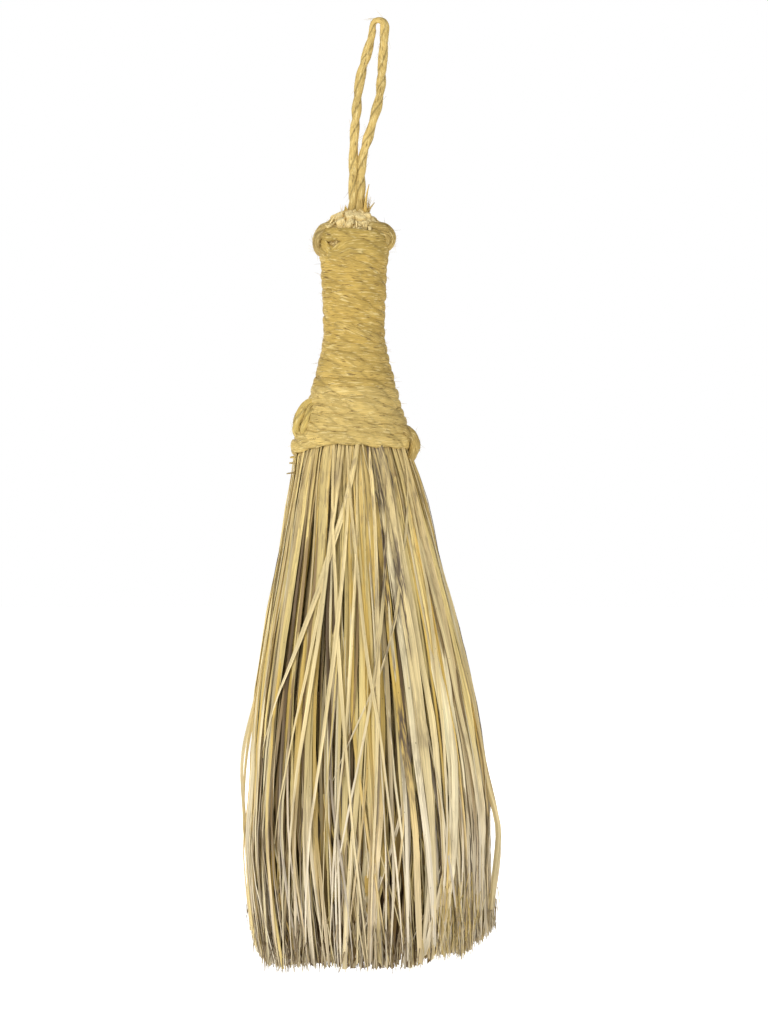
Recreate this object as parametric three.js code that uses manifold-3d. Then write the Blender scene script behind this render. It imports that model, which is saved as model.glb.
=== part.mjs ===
// A hand-bound hearth broom of palm leaf. Bound leaf stalks make the handle, their leaflets and the hanks
// of leaf laid round them make the skirt, and a cord loop hangs the broom on a peg.
// Millimetres, +Z up, front towards -Y. Heights are counted up from the hem, where the leaves are cut off.
import * as THREE from "three";
import { mergeVertices } from "three/addons/utils/BufferGeometryUtils.js";
import Module from "manifold-3d";

const wasm = await Module();
wasm.setup();

// Heights
const skirtLength = 243; // hem to the lower edge of the binding
const shoulderHeight = 52; // the flare under the grip
const gripLength = 42; // waist of the grip to the collar
const crownRise = 6; // stalk ends above the collar
const bulgeHeight = 66; // where the skirt is widest
const hemLift = 13; // how much higher the corners of the hem are cut
const raggedness = 3.5; // how uneven the cut ends are

// Half-widths across the front and half-depths, over the binding or over the leaves
const collarHalfWidth = 16.6;
const collarHalfDepth = 16;
const gripHalfWidth = 14.7;
const gripHalfDepth = 14.2;
const shoulderHalfWidth = 29;
const shoulderHalfDepth = 24.6;
const skirtHalfWidth = 60.5;
const skirtHalfDepth = 43.5;
const hemTuck = 6.5; // how far the leaf tips curl back in below the bulge
const hemLean = 9.4; // sideways drift of the skirt at the hem

// Cords, by diameter
const bindingCord = 3.9;
const knotCord = 3.4; // of the side knots, squeezed flat against the binding
const knotBreadth = 5.4;
const loopCord = 4.4;
const tieCord = 1.8;

// Leaves
const stalkCount = 9; // leaves whose stalks run up through the handle
const leafletsPerStalk = 4;
const hankCount = 16; // hanks of leaf bound on round the shoulder
const bladesPerHank = 7;
const hankRoot = 20; // length of a hank held under the binding
const hankThickness = 3.4; // of a hank where it is bound
const bladeWidth = 4.3;
const bladeThickness = 1.3;
const rootBladeWidth = 1.9; // width of a blade where it leaves the binding
const bladeGap = 0.8; // least room between the blades of one hank and the next
const rowDepth = 1.7; // how far the blades of a hank's inner row lie behind the outer ones
const bladeSink = 1.8; // how far a blade of the inner row may hang behind the others there
const bladeDrift = 0.6; // how far a blade may hang to one side, as a share of the step to the next

const clearance = 0.35; // between pieces that touch
const collarTurns = 3;
const knotHeight = 14; // of the side knots
const stopKnotLength = 12;

// Shape of the profiles
const flareCurve = 1.2; // 1 is a straight cone, more is a hollow flare
const fanBow = 0.6; // 0 is a straight-sided skirt, 1 a fully bowed one
const coreShare = 0.56; // how far out of the skirt's half-width the stalks' leaflets reach
const cordSides = 6;
const cordStep = 8; // length of a straight piece of a bound cord

// The loop's centreline across and up from the middle of its root, as it hangs on its peg
const loopRoute = [
  [-2.4, 0], [-2.35, 6.7], [-2.3, 13.7], [-2.2, 20.5], [-1.8, 26], [-1.3, 33], [-0.5, 40.5], [0.1, 48],
  [0.95, 55.5], [2.35, 63], [4.6, 70.6], [6.6, 78], [7.25, 81.5], [7.4, 84], [8.22, 85.98], [10.2, 86.8],
  [12.18, 85.98], [13, 84], [12.95, 81.5], [12.75, 78], [12.3, 70.6], [11.7, 63], [11.2, 55.5], [10, 48],
  [7.9, 40.5], [6, 33], [4.2, 26], [3, 20.5], [2.5, 13.7], [2.4, 6.7], [2.4, 0],
];
const loopTop = loopRoute.reduce((top, point) => (point[1] > top[1] ? point : top)); // the peg is under it
const loopOffset = 1.4; // the loop's root lies a little right of the handle's axis

// Heights that follow
const turnPitch = bindingCord + clearance;
const zShoulder = skirtLength;
const zGrip = zShoulder + shoulderHeight;
const zCollar = zGrip + gripLength;
const zCollarTop = zCollar + collarTurns * turnPitch;
const zCrown = zCollarTop + crownRise;
const zLoopRoot = zCrown + clearance + loopCord / 2;

const TURN = 2 * Math.PI;
const { lerp, smoothstep, clamp } = THREE.MathUtils;
const FRONT = -TURN / 4;

// A repeatable number from 0 to 1 for two whole numbers.
function chance(i, j) {
  const wave = Math.sin(i * 127.1 + j * 311.7) * 43758.5453;
  return wave - Math.floor(wave);
}

// Profiles: half-width x and half-depth y at a height

function bindingOutside(z) {
  const flare = clamp((zGrip - z) / shoulderHeight, 0, 1) ** flareCurve;
  const swell = clamp((z - zGrip) / gripLength, 0, 1) ** 2;
  return {
    x: lerp(gripHalfWidth, shoulderHalfWidth, flare) + (collarHalfWidth - gripHalfWidth) * swell,
    y: lerp(gripHalfDepth, shoulderHalfDepth, flare) + (collarHalfDepth - gripHalfDepth) * swell,
  };
}

function bindingInside(z) {
  const outside = bindingOutside(z);
  return { x: outside.x - bindingCord - clearance, y: outside.y - bindingCord - clearance };
}

// The outside of the leaves: under the binding they keep clear of the tie, and below it they fan out.
function leafOutside(z) {
  if (z >= zShoulder) {
    const inside = bindingInside(z);
    const room = (tieCord + clearance) * smoothstep(z, zShoulder, zShoulder + hankRoot / 2);
    return { x: inside.x - room, y: inside.y - room, lean: 0 };
  }
  const start = bindingInside(zShoulder);
  const fall = clamp((zShoulder - z) / (zShoulder - bulgeHeight), 0, 1);
  const fan = fanBow * Math.sin((fall * TURN) / 4) + (1 - fanBow) * fall;
  const tuck = hemTuck * clamp((bulgeHeight - z) / bulgeHeight, 0, 1) ** 2;
  return {
    x: lerp(start.x, skirtHalfWidth, fan) - tuck,
    y: lerp(start.y, skirtHalfDepth, fan) - tuck,
    lean: hemLean * (1 - z / zShoulder),
  };
}

// The ring of stalks fills the binding down to the flare, and below it opens with the skirt.
function stalkOutside(z) {
  const held = bindingInside(Math.max(z, zGrip));
  const open = smoothstep(zGrip - z, 0, shoulderHeight) * (loopCord / 2);
  return { x: held.x + open, y: held.y + open };
}

// Solids

function facingOut(geometry) {
  const bare = geometry.clone();
  bare.deleteAttribute("normal");
  bare.deleteAttribute("uv");
  const merged = mergeVertices(bare, 1e-4);
  const p = merged.attributes.position;
  const index = merged.index.array;
  const [a, b, c] = [new THREE.Vector3(), new THREE.Vector3(), new THREE.Vector3()];
  let volume = 0;
  for (let i = 0; i < index.length; i += 3) {
    a.fromBufferAttribute(p, index[i]);
    b.fromBufferAttribute(p, index[i + 1]);
    c.fromBufferAttribute(p, index[i + 2]);
    volume += a.dot(b.cross(c));
  }
  if (volume < 0) merged.setIndex(Array.from(index).reverse());
  return merged;
}

// Rings of points, all the same number, joined by walls and closed by a flat end at each side.
function loft(rings) {
  const sides = rings[0].length;
  const index = [];
  for (let r = 0; r + 1 < rings.length; r++) {
    for (let s = 0; s < sides; s++) {
      const [here, next] = [r * sides + s, r * sides + ((s + 1) % sides)];
      index.push(here, next, here + sides, next, next + sides, here + sides);
    }
  }
  const last = (rings.length - 1) * sides;
  for (let s = 1; s + 1 < sides; s++) index.push(0, s + 1, s, last, last + s, last + s + 1);
  const geometry = new THREE.BufferGeometry().setFromPoints(rings.flat());
  geometry.setIndex(index);
  return facingOut(geometry);
}

function toSolid(geometry) {
  const closed = facingOut(geometry);
  const triVerts = new Uint32Array(closed.index.array);
  const vertProperties = closed.attributes.position.array;
  return new wasm.Manifold(new wasm.Mesh({ numProp: 3, vertProperties, triVerts }));
}

function joined(geometries) {
  const solid = geometries.map(toSolid).reduce((whole, piece) => whole.add(piece));
  const mesh = solid.getMesh();
  const geometry = new THREE.BufferGeometry();
  geometry.setAttribute("position", new THREE.BufferAttribute(mesh.vertProperties, 3));
  geometry.setIndex(new THREE.BufferAttribute(mesh.triVerts, 1));
  return geometry;
}

function roundSection(diameter, sides) {
  const corner = (i) => new THREE.Vector2(Math.cos((TURN * i) / sides), Math.sin((TURN * i) / sides));
  return new THREE.Shape(Array.from({ length: sides }, (_, i) => corner(i).multiplyScalar(diameter / 2)));
}

function cordAlong(curve, diameter, sides, steps) {
  const options = { steps, extrudePath: curve, bevelEnabled: false };
  return facingOut(new THREE.ExtrudeGeometry(roundSection(diameter, sides), options));
}

// A curve stepped from point to point of its route, so that its steps are short where the points are close.
class Route extends THREE.CatmullRomCurve3 {
  getPointAt(t, target) {
    return this.getPoint(t, target);
  }

  getTangentAt(t, target) {
    return this.getTangent(t, target);
  }
}

// Materials

const leafMaterial = new THREE.MeshStandardMaterial({ color: 0xc9b078, roughness: 0.6 });
const stalkMaterial = new THREE.MeshStandardMaterial({ color: 0xd8c28c, roughness: 0.7 });
const cordMaterial = new THREE.MeshStandardMaterial({ color: 0xcdad60, roughness: 0.8 });
const tieMaterial = new THREE.MeshStandardMaterial({ color: 0xb39a63, roughness: 0.85 });

const broom = new THREE.Group();

function place(parent, name, geometry, material) {
  const mesh = new THREE.Mesh(geometry, material);
  mesh.name = name;
  parent.add(mesh);
  return mesh;
}

const numbered = (name, i) => `${name}_${String(i + 1).padStart(2, "0")}`;

// The binding: one wound line of cord, laid on in four lengths with their ends butted at the back

// How far the middle of a straight piece of wound cord lies inside its ends.
function cordSag(z) {
  const { x, y } = bindingOutside(z);
  return cordStep ** 2 / (8 * Math.min(x, y));
}

class Winding extends THREE.Curve {
  constructor(top, bottom) {
    super();
    this.top = top;
    this.bottom = bottom;
    this.arcLengthDivisions = Math.ceil(((top - bottom) / turnPitch) * 48);
  }

  getPoint(t, target = new THREE.Vector3()) {
    const z = lerp(this.top, this.bottom, t);
    const angle = -FRONT + (TURN * (zCollarTop - bindingCord / 2 - z)) / turnPitch;
    const { x, y } = bindingOutside(z);
    const out = cordSag(z) - bindingCord / 2;
    return target.set((x + out) * Math.cos(angle), (y + out) * Math.sin(angle), z);
  }
}

function bindingLength(name, turnFrom, turnTo) {
  const start = zCollarTop - bindingCord / 2;
  const buttGap = (2 * clearance) / (TURN * gripHalfWidth);
  const winding = new Winding(start - turnFrom * turnPitch, start - (turnTo - buttGap) * turnPitch);
  const steps = Math.ceil(winding.getLength() / cordStep);
  place(broom, name, cordAlong(winding, bindingCord, cordSides, steps), cordMaterial);
}

const allTurns = (zCollarTop - zShoulder - bindingCord) / turnPitch;
const gripTurns = Math.round(gripLength / turnPitch);
const flareTurns = Math.floor((allTurns - collarTurns - gripTurns) / 2);
const bindingEnds = [0, collarTurns, collarTurns + gripTurns, collarTurns + gripTurns + flareTurns, allTurns];
["collar_binding", "upper_grip_binding", "lower_grip_binding", "shoulder_binding"].forEach((name, i) =>
  bindingLength(name, bindingEnds[i], bindingEnds[i + 1]),
);

// The side knots: a bight of cord that lies up the side of the binding, tapering in at both ends

function sideKnot(name, side, middle) {
  const rings = [];
  const steps = 6;
  for (let i = 0; i <= steps; i++) {
    const rise = lerp(-1, 1, i / steps);
    const radius = (knotCord / 2) * (0.55 + 0.45 * Math.cos((rise * TURN) / 4));
    const z = middle + (rise * knotHeight) / 2;
    const out = bindingOutside(z).x + clearance + radius;
    rings.push(
      Array.from({ length: 8 }, (_, k) => {
        const turn = (TURN * k) / 8;
        const breadth = (radius * knotBreadth) / knotCord;
        return new THREE.Vector3(side * (out + radius * Math.cos(turn)), breadth * Math.sin(turn), z);
      }),
    );
  }
  place(broom, name, loft(rings), cordMaterial);
}

const collarMiddle = (zCollar + zCollarTop) / 2;
sideKnot("collar_knot_left", -1, collarMiddle - turnPitch / 2);
sideKnot("collar_knot_right", 1, collarMiddle);
sideKnot("shoulder_knot_left", -1, zShoulder + knotHeight);
sideKnot("shoulder_knot_right", 1, zShoulder + knotHeight / 3);

// The stalks: a ring of leaf stalks fills the handle, and each fans into leaflets inside the skirt

// Stalks of this diameter stand side by side in a ring that just fits inside the given half-width.
function stalkDiameter(half) {
  const reach = Math.sin(TURN / 2 / stalkCount);
  return (2 * reach * half - 1.2 * clearance) / (1 + reach);
}

function stalkRing(angle, z) {
  const { x, y } = stalkOutside(z);
  const width = stalkDiameter(Math.min(x, y));
  const middle = [(x - width / 2) * Math.cos(angle), (y - width / 2) * Math.sin(angle)];
  return Array.from({ length: 7 }, (_, k) => {
    const turn = angle + (TURN * (k + 0.5)) / 7;
    return new THREE.Vector3(
      middle[0] + (width / 2) * Math.cos(turn),
      middle[1] + (width / 2) * Math.sin(turn),
      z,
    );
  });
}

// A blade is a flat leaf with a raised rib: its rings are diamonds that lie along the skirt's outside.
function bladeRing(at, along, width, thickness) {
  const out = new THREE.Vector3(along.y, -along.x, 0);
  const point = (w, t) => at.clone().addScaledVector(along, w).addScaledVector(out, t);
  return [point(-width / 2, 0), point(0, -thickness / 2), point(width / 2, 0), point(0, thickness / 2)];
}

// A profile taken in towards the middle by a share and a depth.
function within(profile, share, inset) {
  return { x: profile.x * share - inset, y: profile.y * share - inset, lean: profile.lean };
}

// The place at an angle round a profile, and the direction along it there.
function around({ x, y, lean = 0 }, angle, z) {
  return {
    at: new THREE.Vector3(lean + x * Math.cos(angle), y * Math.sin(angle), z),
    along: new THREE.Vector3(-x * Math.sin(angle), y * Math.cos(angle), 0),
  };
}

// The least length of arc per turn that a profile has in a sector.
function shortestArc(profile, sector, angle) {
  const edges = [angle - sector / 2, angle, angle + sector / 2];
  return Math.min(...edges.map((edge) => around(profile, edge, 0).along.length()));
}

// Half the angle that a sector of a profile leaves free for the middle of a piece of this width.
function halfSpread(profile, sector, angle, width) {
  return Math.max(0, sector / 2 - width / 2 / shortestArc(profile, sector, angle));
}

// The width a blade can have where every second one of a count lies in one row of a sector.
function roomForBlade(profile, sector, angle, count) {
  return (2 * sector * shortestArc(profile, sector, angle)) / (count + 1) - bladeGap;
}

function hemHeight(angle, share) {
  return hemLift * (share * Math.abs(Math.cos(angle))) ** 4;
}

const bladeStations = [0, 0.15, 0.42, 0.74, 1];
const leafletStations = [0, 0.2, 0.6, 1];

function bladeWidthAt(fall, widest) {
  return lerp(rootBladeWidth, widest, smoothstep(fall, 0, 0.35)) * lerp(1, 0.8, smoothstep(fall, 0.8, 1));
}

function leaf(i) {
  const sector = TURN / stalkCount;
  const angle = FRONT + (i + 0.5) * sector;
  const zFan = zShoulder + shoulderHeight / 5;
  const top = zCrown - crownRise * 0.8 * chance(i, 1);
  const heights = [top, zCollar, lerp(zCollar, zGrip, 0.5), zGrip, lerp(zGrip, zFan, 0.5), zFan];
  const pieces = [loft(heights.map((z) => stalkRing(angle, z)))];
  for (let j = 0; j < leafletsPerStalk; j++) {
    const side = lerp(-1, 1, j / (leafletsPerStalk - 1));
    const share = j % 2 ? coreShare : coreShare * 0.6;
    const tip = hemHeight(angle, share) + raggedness * chance(i, j + 2);
    const start = zFan + stalkDiameter(gripHalfDepth - bindingCord) / 2;
    const rings = leafletStations.map((fall) => {
      const z = lerp(start, tip, fall);
      const { x, y } = stalkOutside(z);
      const stalk = stalkDiameter(Math.min(x, y));
      const open = smoothstep(fall, 0, leafletStations[1]);
      const fan = within(leafOutside(Math.min(z, zShoulder)), share, 0);
      const room = roomForBlade(fan, sector, angle, leafletsPerStalk);
      const width = Math.min(bladeWidthAt(fall, bladeWidth), room);
      const spread = halfSpread(fan, sector, angle, width + bladeGap) * open;
      const { at, along } = around(fan, angle + side * spread, z);
      const root = new THREE.Vector3(
        (x - stalk / 2) * Math.cos(angle) - (side * stalk * Math.sin(angle)) / 4,
        (y - stalk / 2) * Math.sin(angle) + (side * stalk * Math.cos(angle)) / 4,
        z,
      );
      return bladeRing(root.lerp(at, open), along.normalize(), width, bladeThickness);
    });
    pieces.push(loft(rings));
  }
  place(broom, numbered("palm_leaf", i), joined(pieces), stalkMaterial);
}

for (let i = 0; i < stalkCount; i++) leaf(i);

// The hanks: leaves gathered at a bound root that wedges under the shoulder binding, with blades hanging free

// The inside of a hank's root: a hank's thickness in, or against the stalks where there is less room.
function rootInside(z) {
  const leaves = leafOutside(z);
  const stalks = stalkOutside(z);
  const besideStalks = Math.max((stalks.x + clearance) / leaves.x, (stalks.y + clearance) / leaves.y);
  return within(leaves, Math.max(besideStalks, 1 - hankThickness / leaves.x), 0);
}

function hank(i) {
  const sector = TURN / hankCount;
  const angle = FRONT + i * sector;
  const rootTop = zShoulder + hankRoot;
  const rootRing = (z) => {
    const outer = leafOutside(z);
    const inner = rootInside(z);
    const corner = (profile, turn) => {
      return around(profile, angle + turn * halfSpread(profile, sector, angle, clearance), z).at;
    };
    const outerCorners = [-1, -1 / 3, 1 / 3, 1].map((turn) => corner(outer, turn));
    return [...outerCorners, corner(inner, 1), corner(inner, -1)];
  };
  const rootHeights = [rootTop, lerp(zShoulder, rootTop, 0.5), zShoulder, zShoulder - clearance * 4];
  const pieces = [loft(rootHeights.map(rootRing))];
  for (let j = 0; j < bladesPerHank; j++) {
    const step = 2 / (bladesPerHank - 1);
    const row = (j + 1) % 2;
    const widest = bladeWidth * lerp(0.75, 1.2, chance(i, j + 11));
    // The front hank's middle blade hangs straight and is cut at the hem itself.
    const straight = i === 0 && 2 * j === bladesPerHank - 1;
    const uneven = straight ? 0 : chance(i, j + 21);
    const drift = straight ? 0 : bladeDrift * (chance(i, j + 31) - 0.5);
    const sink = row * bladeSink * chance(i, j + 41);
    const tip = hemHeight(angle, 1) + raggedness * uneven;
    const start = zShoulder + bladeThickness;
    const rings = bladeStations.map((fall) => {
      const z = lerp(start, tip, fall);
      const side = clamp(-1 + step * (j + drift * fall), -1, 1);
      const hungInset = bladeThickness / 2 + rowDepth * row + sink * fall;
      const inset = lerp(bladeThickness / 2 + clearance, hungInset, smoothstep(fall, 0, bladeStations[1]));
      const layer = within(leafOutside(z), 1, inset);
      const width = Math.min(bladeWidthAt(fall, widest), roomForBlade(layer, sector, angle, bladesPerHank));
      const spread = halfSpread(layer, sector, angle, width + bladeGap);
      const { at, along } = around(layer, angle + side * spread, z);
      return bladeRing(at, along.normalize(), width, bladeThickness);
    });
    pieces.push(loft(rings));
  }
  place(broom, numbered("leaf_hank", i), joined(pieces), leafMaterial);
}

for (let i = 0; i < hankCount; i++) hank(i);

// The hidden ties: one gathers the stalks under the grip, the other the roots of the hanks

function tie(name, z, inside) {
  const sides = 20;
  const reach = (inside.x + clearance + tieCord / 2) / Math.cos(TURN / 2 / sides);
  const points = Array.from({ length: 6 }, (_, k) => {
    const turn = (TURN * k) / 5;
    return new THREE.Vector2(reach + (tieCord / 2) * Math.cos(turn), (tieCord / 2) * Math.sin(turn));
  });
  const ring = new THREE.LatheGeometry(points, sides);
  ring.rotateX(TURN / 4);
  ring.scale(1, (inside.y + clearance + tieCord / 2) / (inside.x + clearance + tieCord / 2), 1);
  ring.translate(0, 0, z);
  place(broom, name, facingOut(ring), tieMaterial);
}

const zRootTop = zShoulder + hankRoot;
const zCoreTie = zRootTop + clearance + tieCord;
tie("core_tie", zCoreTie, stalkOutside(zCoreTie));
const zShoulderTie = zRootTop - tieCord;
tie("shoulder_tie", zShoulderTie, leafOutside(zShoulderTie));

// The loop's tails run down between the stalks to a stop knot that can't pull up through the waist

const zStopKnot = zGrip - stopKnotLength;

function tail(name, side) {
  const rootAcross = loopOffset + (side < 0 ? loopRoute[0][0] : loopRoute[loopRoute.length - 1][0]);
  const heldAcross = (side * (loopCord + clearance)) / 2;
  const points = [
    new THREE.Vector3(rootAcross, 0, zCrown),
    new THREE.Vector3(rootAcross, 0, zCollarTop),
    new THREE.Vector3(heldAcross, 0, zCollar),
    new THREE.Vector3(heldAcross, 0, zStopKnot + clearance),
  ];
  const route = new Route(points, false, "centripetal");
  place(broom, name, cordAlong(route, loopCord, 8, 2 * (points.length - 1)), cordMaterial);
}

tail("loop_tail_left", -1);
tail("loop_tail_right", 1);

function stopKnot() {
  const inside = stalkOutside(zStopKnot);
  const half = Math.min(inside.x, inside.y);
  const radius = half - stalkDiameter(half) - clearance;
  const wraps = 3;
  const points = Array.from({ length: 4 * wraps + 1 }, (_, k) => {
    const along = k / (4 * wraps);
    const swell = 0.8 + 0.2 * Math.abs(Math.sin((along * wraps * TURN) / 2));
    return new THREE.Vector2(radius * swell, -along * stopKnotLength);
  });
  const ends = [new THREE.Vector2(0, 0), ...points, new THREE.Vector2(0, -stopKnotLength)];
  const knot = new THREE.LatheGeometry(ends, 10);
  knot.rotateX(TURN / 4);
  knot.translate(0, 0, zStopKnot);
  place(broom, "loop_stop_knot", facingOut(knot), cordMaterial);
}

stopKnot();

// The hanging loop: a cord that leaves the crown beside itself and folds over at rounded ends

function hangingLoop() {
  const points = loopRoute.map(([across, up]) => new THREE.Vector3(loopOffset + across, 0, zLoopRoot + up));
  const route = new Route(points, false, "centripetal");
  const steps = 1.5 * (points.length - 1);
  const ends = [points[0], points[points.length - 1]].map((point) => {
    const end = new THREE.SphereGeometry(loopCord / 2, 8, 6);
    return end.translate(point.x, point.y, point.z);
  });
  place(broom, "hanging_loop", joined([cordAlong(route, loopCord, 8, steps), ...ends]), cordMaterial);
}

hangingLoop();

// The part's origin is where a peg touches the inside of the loop's top.
const [pegAcross, pegUp] = loopTop;
broom.position.set(-(loopOffset + pegAcross), 0, -(zLoopRoot + pegUp - loopCord / 2));

const part = new THREE.Group();
part.add(broom);

export default part;
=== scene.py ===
"""The looks of a hand-bound hearth broom of palm leaf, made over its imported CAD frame.

Lengths inside the classes are millimetres, counted up from the hem and across from the handle's axis.
Meshes are made in metres, in the row frame.
"""

import logging
import math
from collections.abc import Sequence
from dataclasses import dataclass, replace
from enum import Enum
from typing import ClassVar, NamedTuple

import bpy
import numpy as np
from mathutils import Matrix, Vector


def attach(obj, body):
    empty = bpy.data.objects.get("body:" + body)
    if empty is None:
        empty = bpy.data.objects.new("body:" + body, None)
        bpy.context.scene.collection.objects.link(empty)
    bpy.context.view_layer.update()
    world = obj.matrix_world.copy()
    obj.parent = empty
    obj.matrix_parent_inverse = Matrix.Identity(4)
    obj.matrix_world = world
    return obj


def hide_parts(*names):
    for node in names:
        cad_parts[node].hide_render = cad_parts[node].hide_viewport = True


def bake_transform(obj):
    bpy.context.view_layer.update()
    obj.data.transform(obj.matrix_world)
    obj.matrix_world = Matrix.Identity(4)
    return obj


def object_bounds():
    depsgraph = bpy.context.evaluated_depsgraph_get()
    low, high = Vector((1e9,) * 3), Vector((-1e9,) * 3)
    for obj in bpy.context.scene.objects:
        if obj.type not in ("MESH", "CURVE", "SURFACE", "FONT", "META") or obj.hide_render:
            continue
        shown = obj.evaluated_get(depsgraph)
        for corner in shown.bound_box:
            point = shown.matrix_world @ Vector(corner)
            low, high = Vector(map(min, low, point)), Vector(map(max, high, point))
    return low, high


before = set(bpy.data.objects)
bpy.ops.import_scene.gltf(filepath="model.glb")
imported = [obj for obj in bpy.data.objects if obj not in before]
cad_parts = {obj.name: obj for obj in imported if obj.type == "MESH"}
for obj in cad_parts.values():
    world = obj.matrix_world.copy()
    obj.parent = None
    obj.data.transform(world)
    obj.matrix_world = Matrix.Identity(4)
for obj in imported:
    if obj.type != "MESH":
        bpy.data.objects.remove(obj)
CAD_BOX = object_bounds()

TURN = 2 * math.pi
UP = np.array([0.0, 0.0, 1.0])
GRAIN_RANGE = 900.0

Colour = tuple[float, float, float]
Pair = tuple[float, float]
Rng = np.random.Generator
Socket = bpy.types.NodeSocket
Material = bpy.types.Material
Piece = bpy.types.Object

log = logging.getLogger("broom")


def linear(red: float, green: float, blue: float) -> np.ndarray:
    """Scene-linear colour of a screen colour.

    Args:
        red: Red from 0 to 255.
        green: Green from 0 to 255.
        blue: Blue from 0 to 255.

    Returns:
        Three linear values from 0 to 1.
    """
    share = np.array([red, green, blue]) / 255
    return np.where(share <= 0.04045, share / 12.92, ((share + 0.055) / 1.055) ** 2.4)


def opaque(colour: Colour) -> tuple[float, float, float, float]:
    """Scene-linear colour of a screen colour, with full cover."""
    return (*linear(*colour), 1.0)


def ease(value: np.ndarray, low: float, high: float) -> np.ndarray:
    """A smooth step from 0 at low to 1 at high.

    Args:
        value: Where the step is read.
        low: Where it starts.
        high: Where it ends.

    Returns:
        Values from 0 to 1.
    """
    share = np.clip((value - low) / (high - low), 0, 1)
    return share * share * (3 - 2 * share)


def bump(value: np.ndarray, middle: float, spread: float) -> np.ndarray:
    """A bell of height 1 round a middle.

    Args:
        value: Where the bell is read.
        middle: Its middle.
        spread: Its half-width.

    Returns:
        Values from 0 to 1.
    """
    return np.exp(-(((value - middle) / spread) ** 2))


def ripple(along: np.ndarray, rng: Rng, length: float) -> np.ndarray:
    """An uneven wave of about unit height.

    Args:
        along: Lengths at which the wave is read.
        rng: Source of its phases.
        length: Its longest wavelength.

    Returns:
        The wave's heights.
    """
    wave = np.zeros_like(along, dtype=float)
    for octave, share in enumerate((0.6, 0.35, 0.2)):
        stretch = length / (1.0 + 0.85 * octave) * rng.uniform(0.8, 1.25)
        wave += share * np.sin(TURN * (along / stretch + rng.uniform()))
    return wave


def uneven(along: np.ndarray, rng: Rng, size: Pair) -> np.ndarray:
    """An uneven wave whose size is a height and a longest wavelength."""
    height, length = size
    return height * ripple(along, rng, length)


def unit(vectors: np.ndarray) -> np.ndarray:
    """The vectors at length 1."""
    return vectors / np.maximum(np.linalg.norm(vectors, axis=-1, keepdims=True), 1e-9)


def lengths_along(path: np.ndarray) -> np.ndarray:
    """The length of a line up to each of its points."""
    return np.concatenate([[0.0], np.cumsum(np.linalg.norm(np.diff(path, axis=0), axis=1))])


def polar(wide: float, deep: float, angle: float, z: float) -> np.ndarray:
    """A point of an oval round the handle's axis, at an angle and a height."""
    return np.array([wide * math.cos(angle), deep * math.sin(angle), z])


def oval_normal(angle: np.ndarray, wide: np.ndarray, deep: np.ndarray) -> np.ndarray:
    """Directions straight out of ovals round the handle's axis, at some angles."""
    return unit(np.column_stack([np.cos(angle) / wide, np.sin(angle) / deep, np.zeros_like(wide)]))


def sweep(
    path: np.ndarray,
    first: np.ndarray,
    second: np.ndarray,
    along_first: np.ndarray,
    along_second: np.ndarray,
) -> np.ndarray:
    """Rings of points round a line.

    Args:
        path: Points of the line.
        first: A direction across the line at each point.
        second: Another one.
        along_first: How far along the first direction each place in a ring lies, ring by ring.
        along_second: How far along the second.

    Returns:
        The rings.
    """
    rings = path[:, None, :] + along_first[:, :, None] * first[:, None, :]
    return rings + along_second[:, :, None] * second[:, None, :]


def grain_of(across: np.ndarray, over: np.ndarray, along: np.ndarray, rng: Rng) -> np.ndarray:
    """Grain coordinates of rings, each tube with a start of its own.

    Args:
        across: Places across the tube, ring by ring.
        over: Places over it.
        along: Lengths along it.
        rng: Source of the start.

    Returns:
        Grain coordinates, ring by ring.
    """
    start = rng.uniform(0, GRAIN_RANGE)
    return np.stack([across, over, np.broadcast_to(along[:, None] + start, across.shape)], -1)


def smooth_path(points: Sequence[Sequence[float]], step: float) -> np.ndarray:
    """A centripetal Catmull-Rom line through points.

    Args:
        points: Places that the line passes.
        step: Longest distance between its samples.

    Returns:
        The samples, one row each.
    """
    given = np.asarray(points, float)
    ends = np.vstack([2 * given[0] - given[1], given, 2 * given[-1] - given[-2]])
    samples = []
    for i in range(len(given) - 1):
        p0, p1, p2, p3 = ends[i : i + 4]
        t0 = 0.0
        t1 = t0 + math.sqrt(np.linalg.norm(p1 - p0))
        t2 = t1 + math.sqrt(np.linalg.norm(p2 - p1))
        t3 = t2 + math.sqrt(np.linalg.norm(p3 - p2))
        count = max(2, math.ceil(np.linalg.norm(p2 - p1) / step))
        t = np.linspace(t1, t2, count, endpoint=False)[:, None]
        a1 = ((t1 - t) * p0 + (t - t0) * p1) / (t1 - t0)
        a2 = ((t2 - t) * p1 + (t - t1) * p2) / (t2 - t1)
        a3 = ((t3 - t) * p2 + (t - t2) * p3) / (t3 - t2)
        b1 = ((t2 - t) * a1 + (t - t0) * a2) / (t2 - t0)
        b2 = ((t3 - t) * a2 + (t - t1) * a3) / (t3 - t1)
        samples.append(((t2 - t) * b1 + (t - t1) * b2) / (t2 - t1))
    samples.append(given[-1:])
    return np.vstack(samples)


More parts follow.
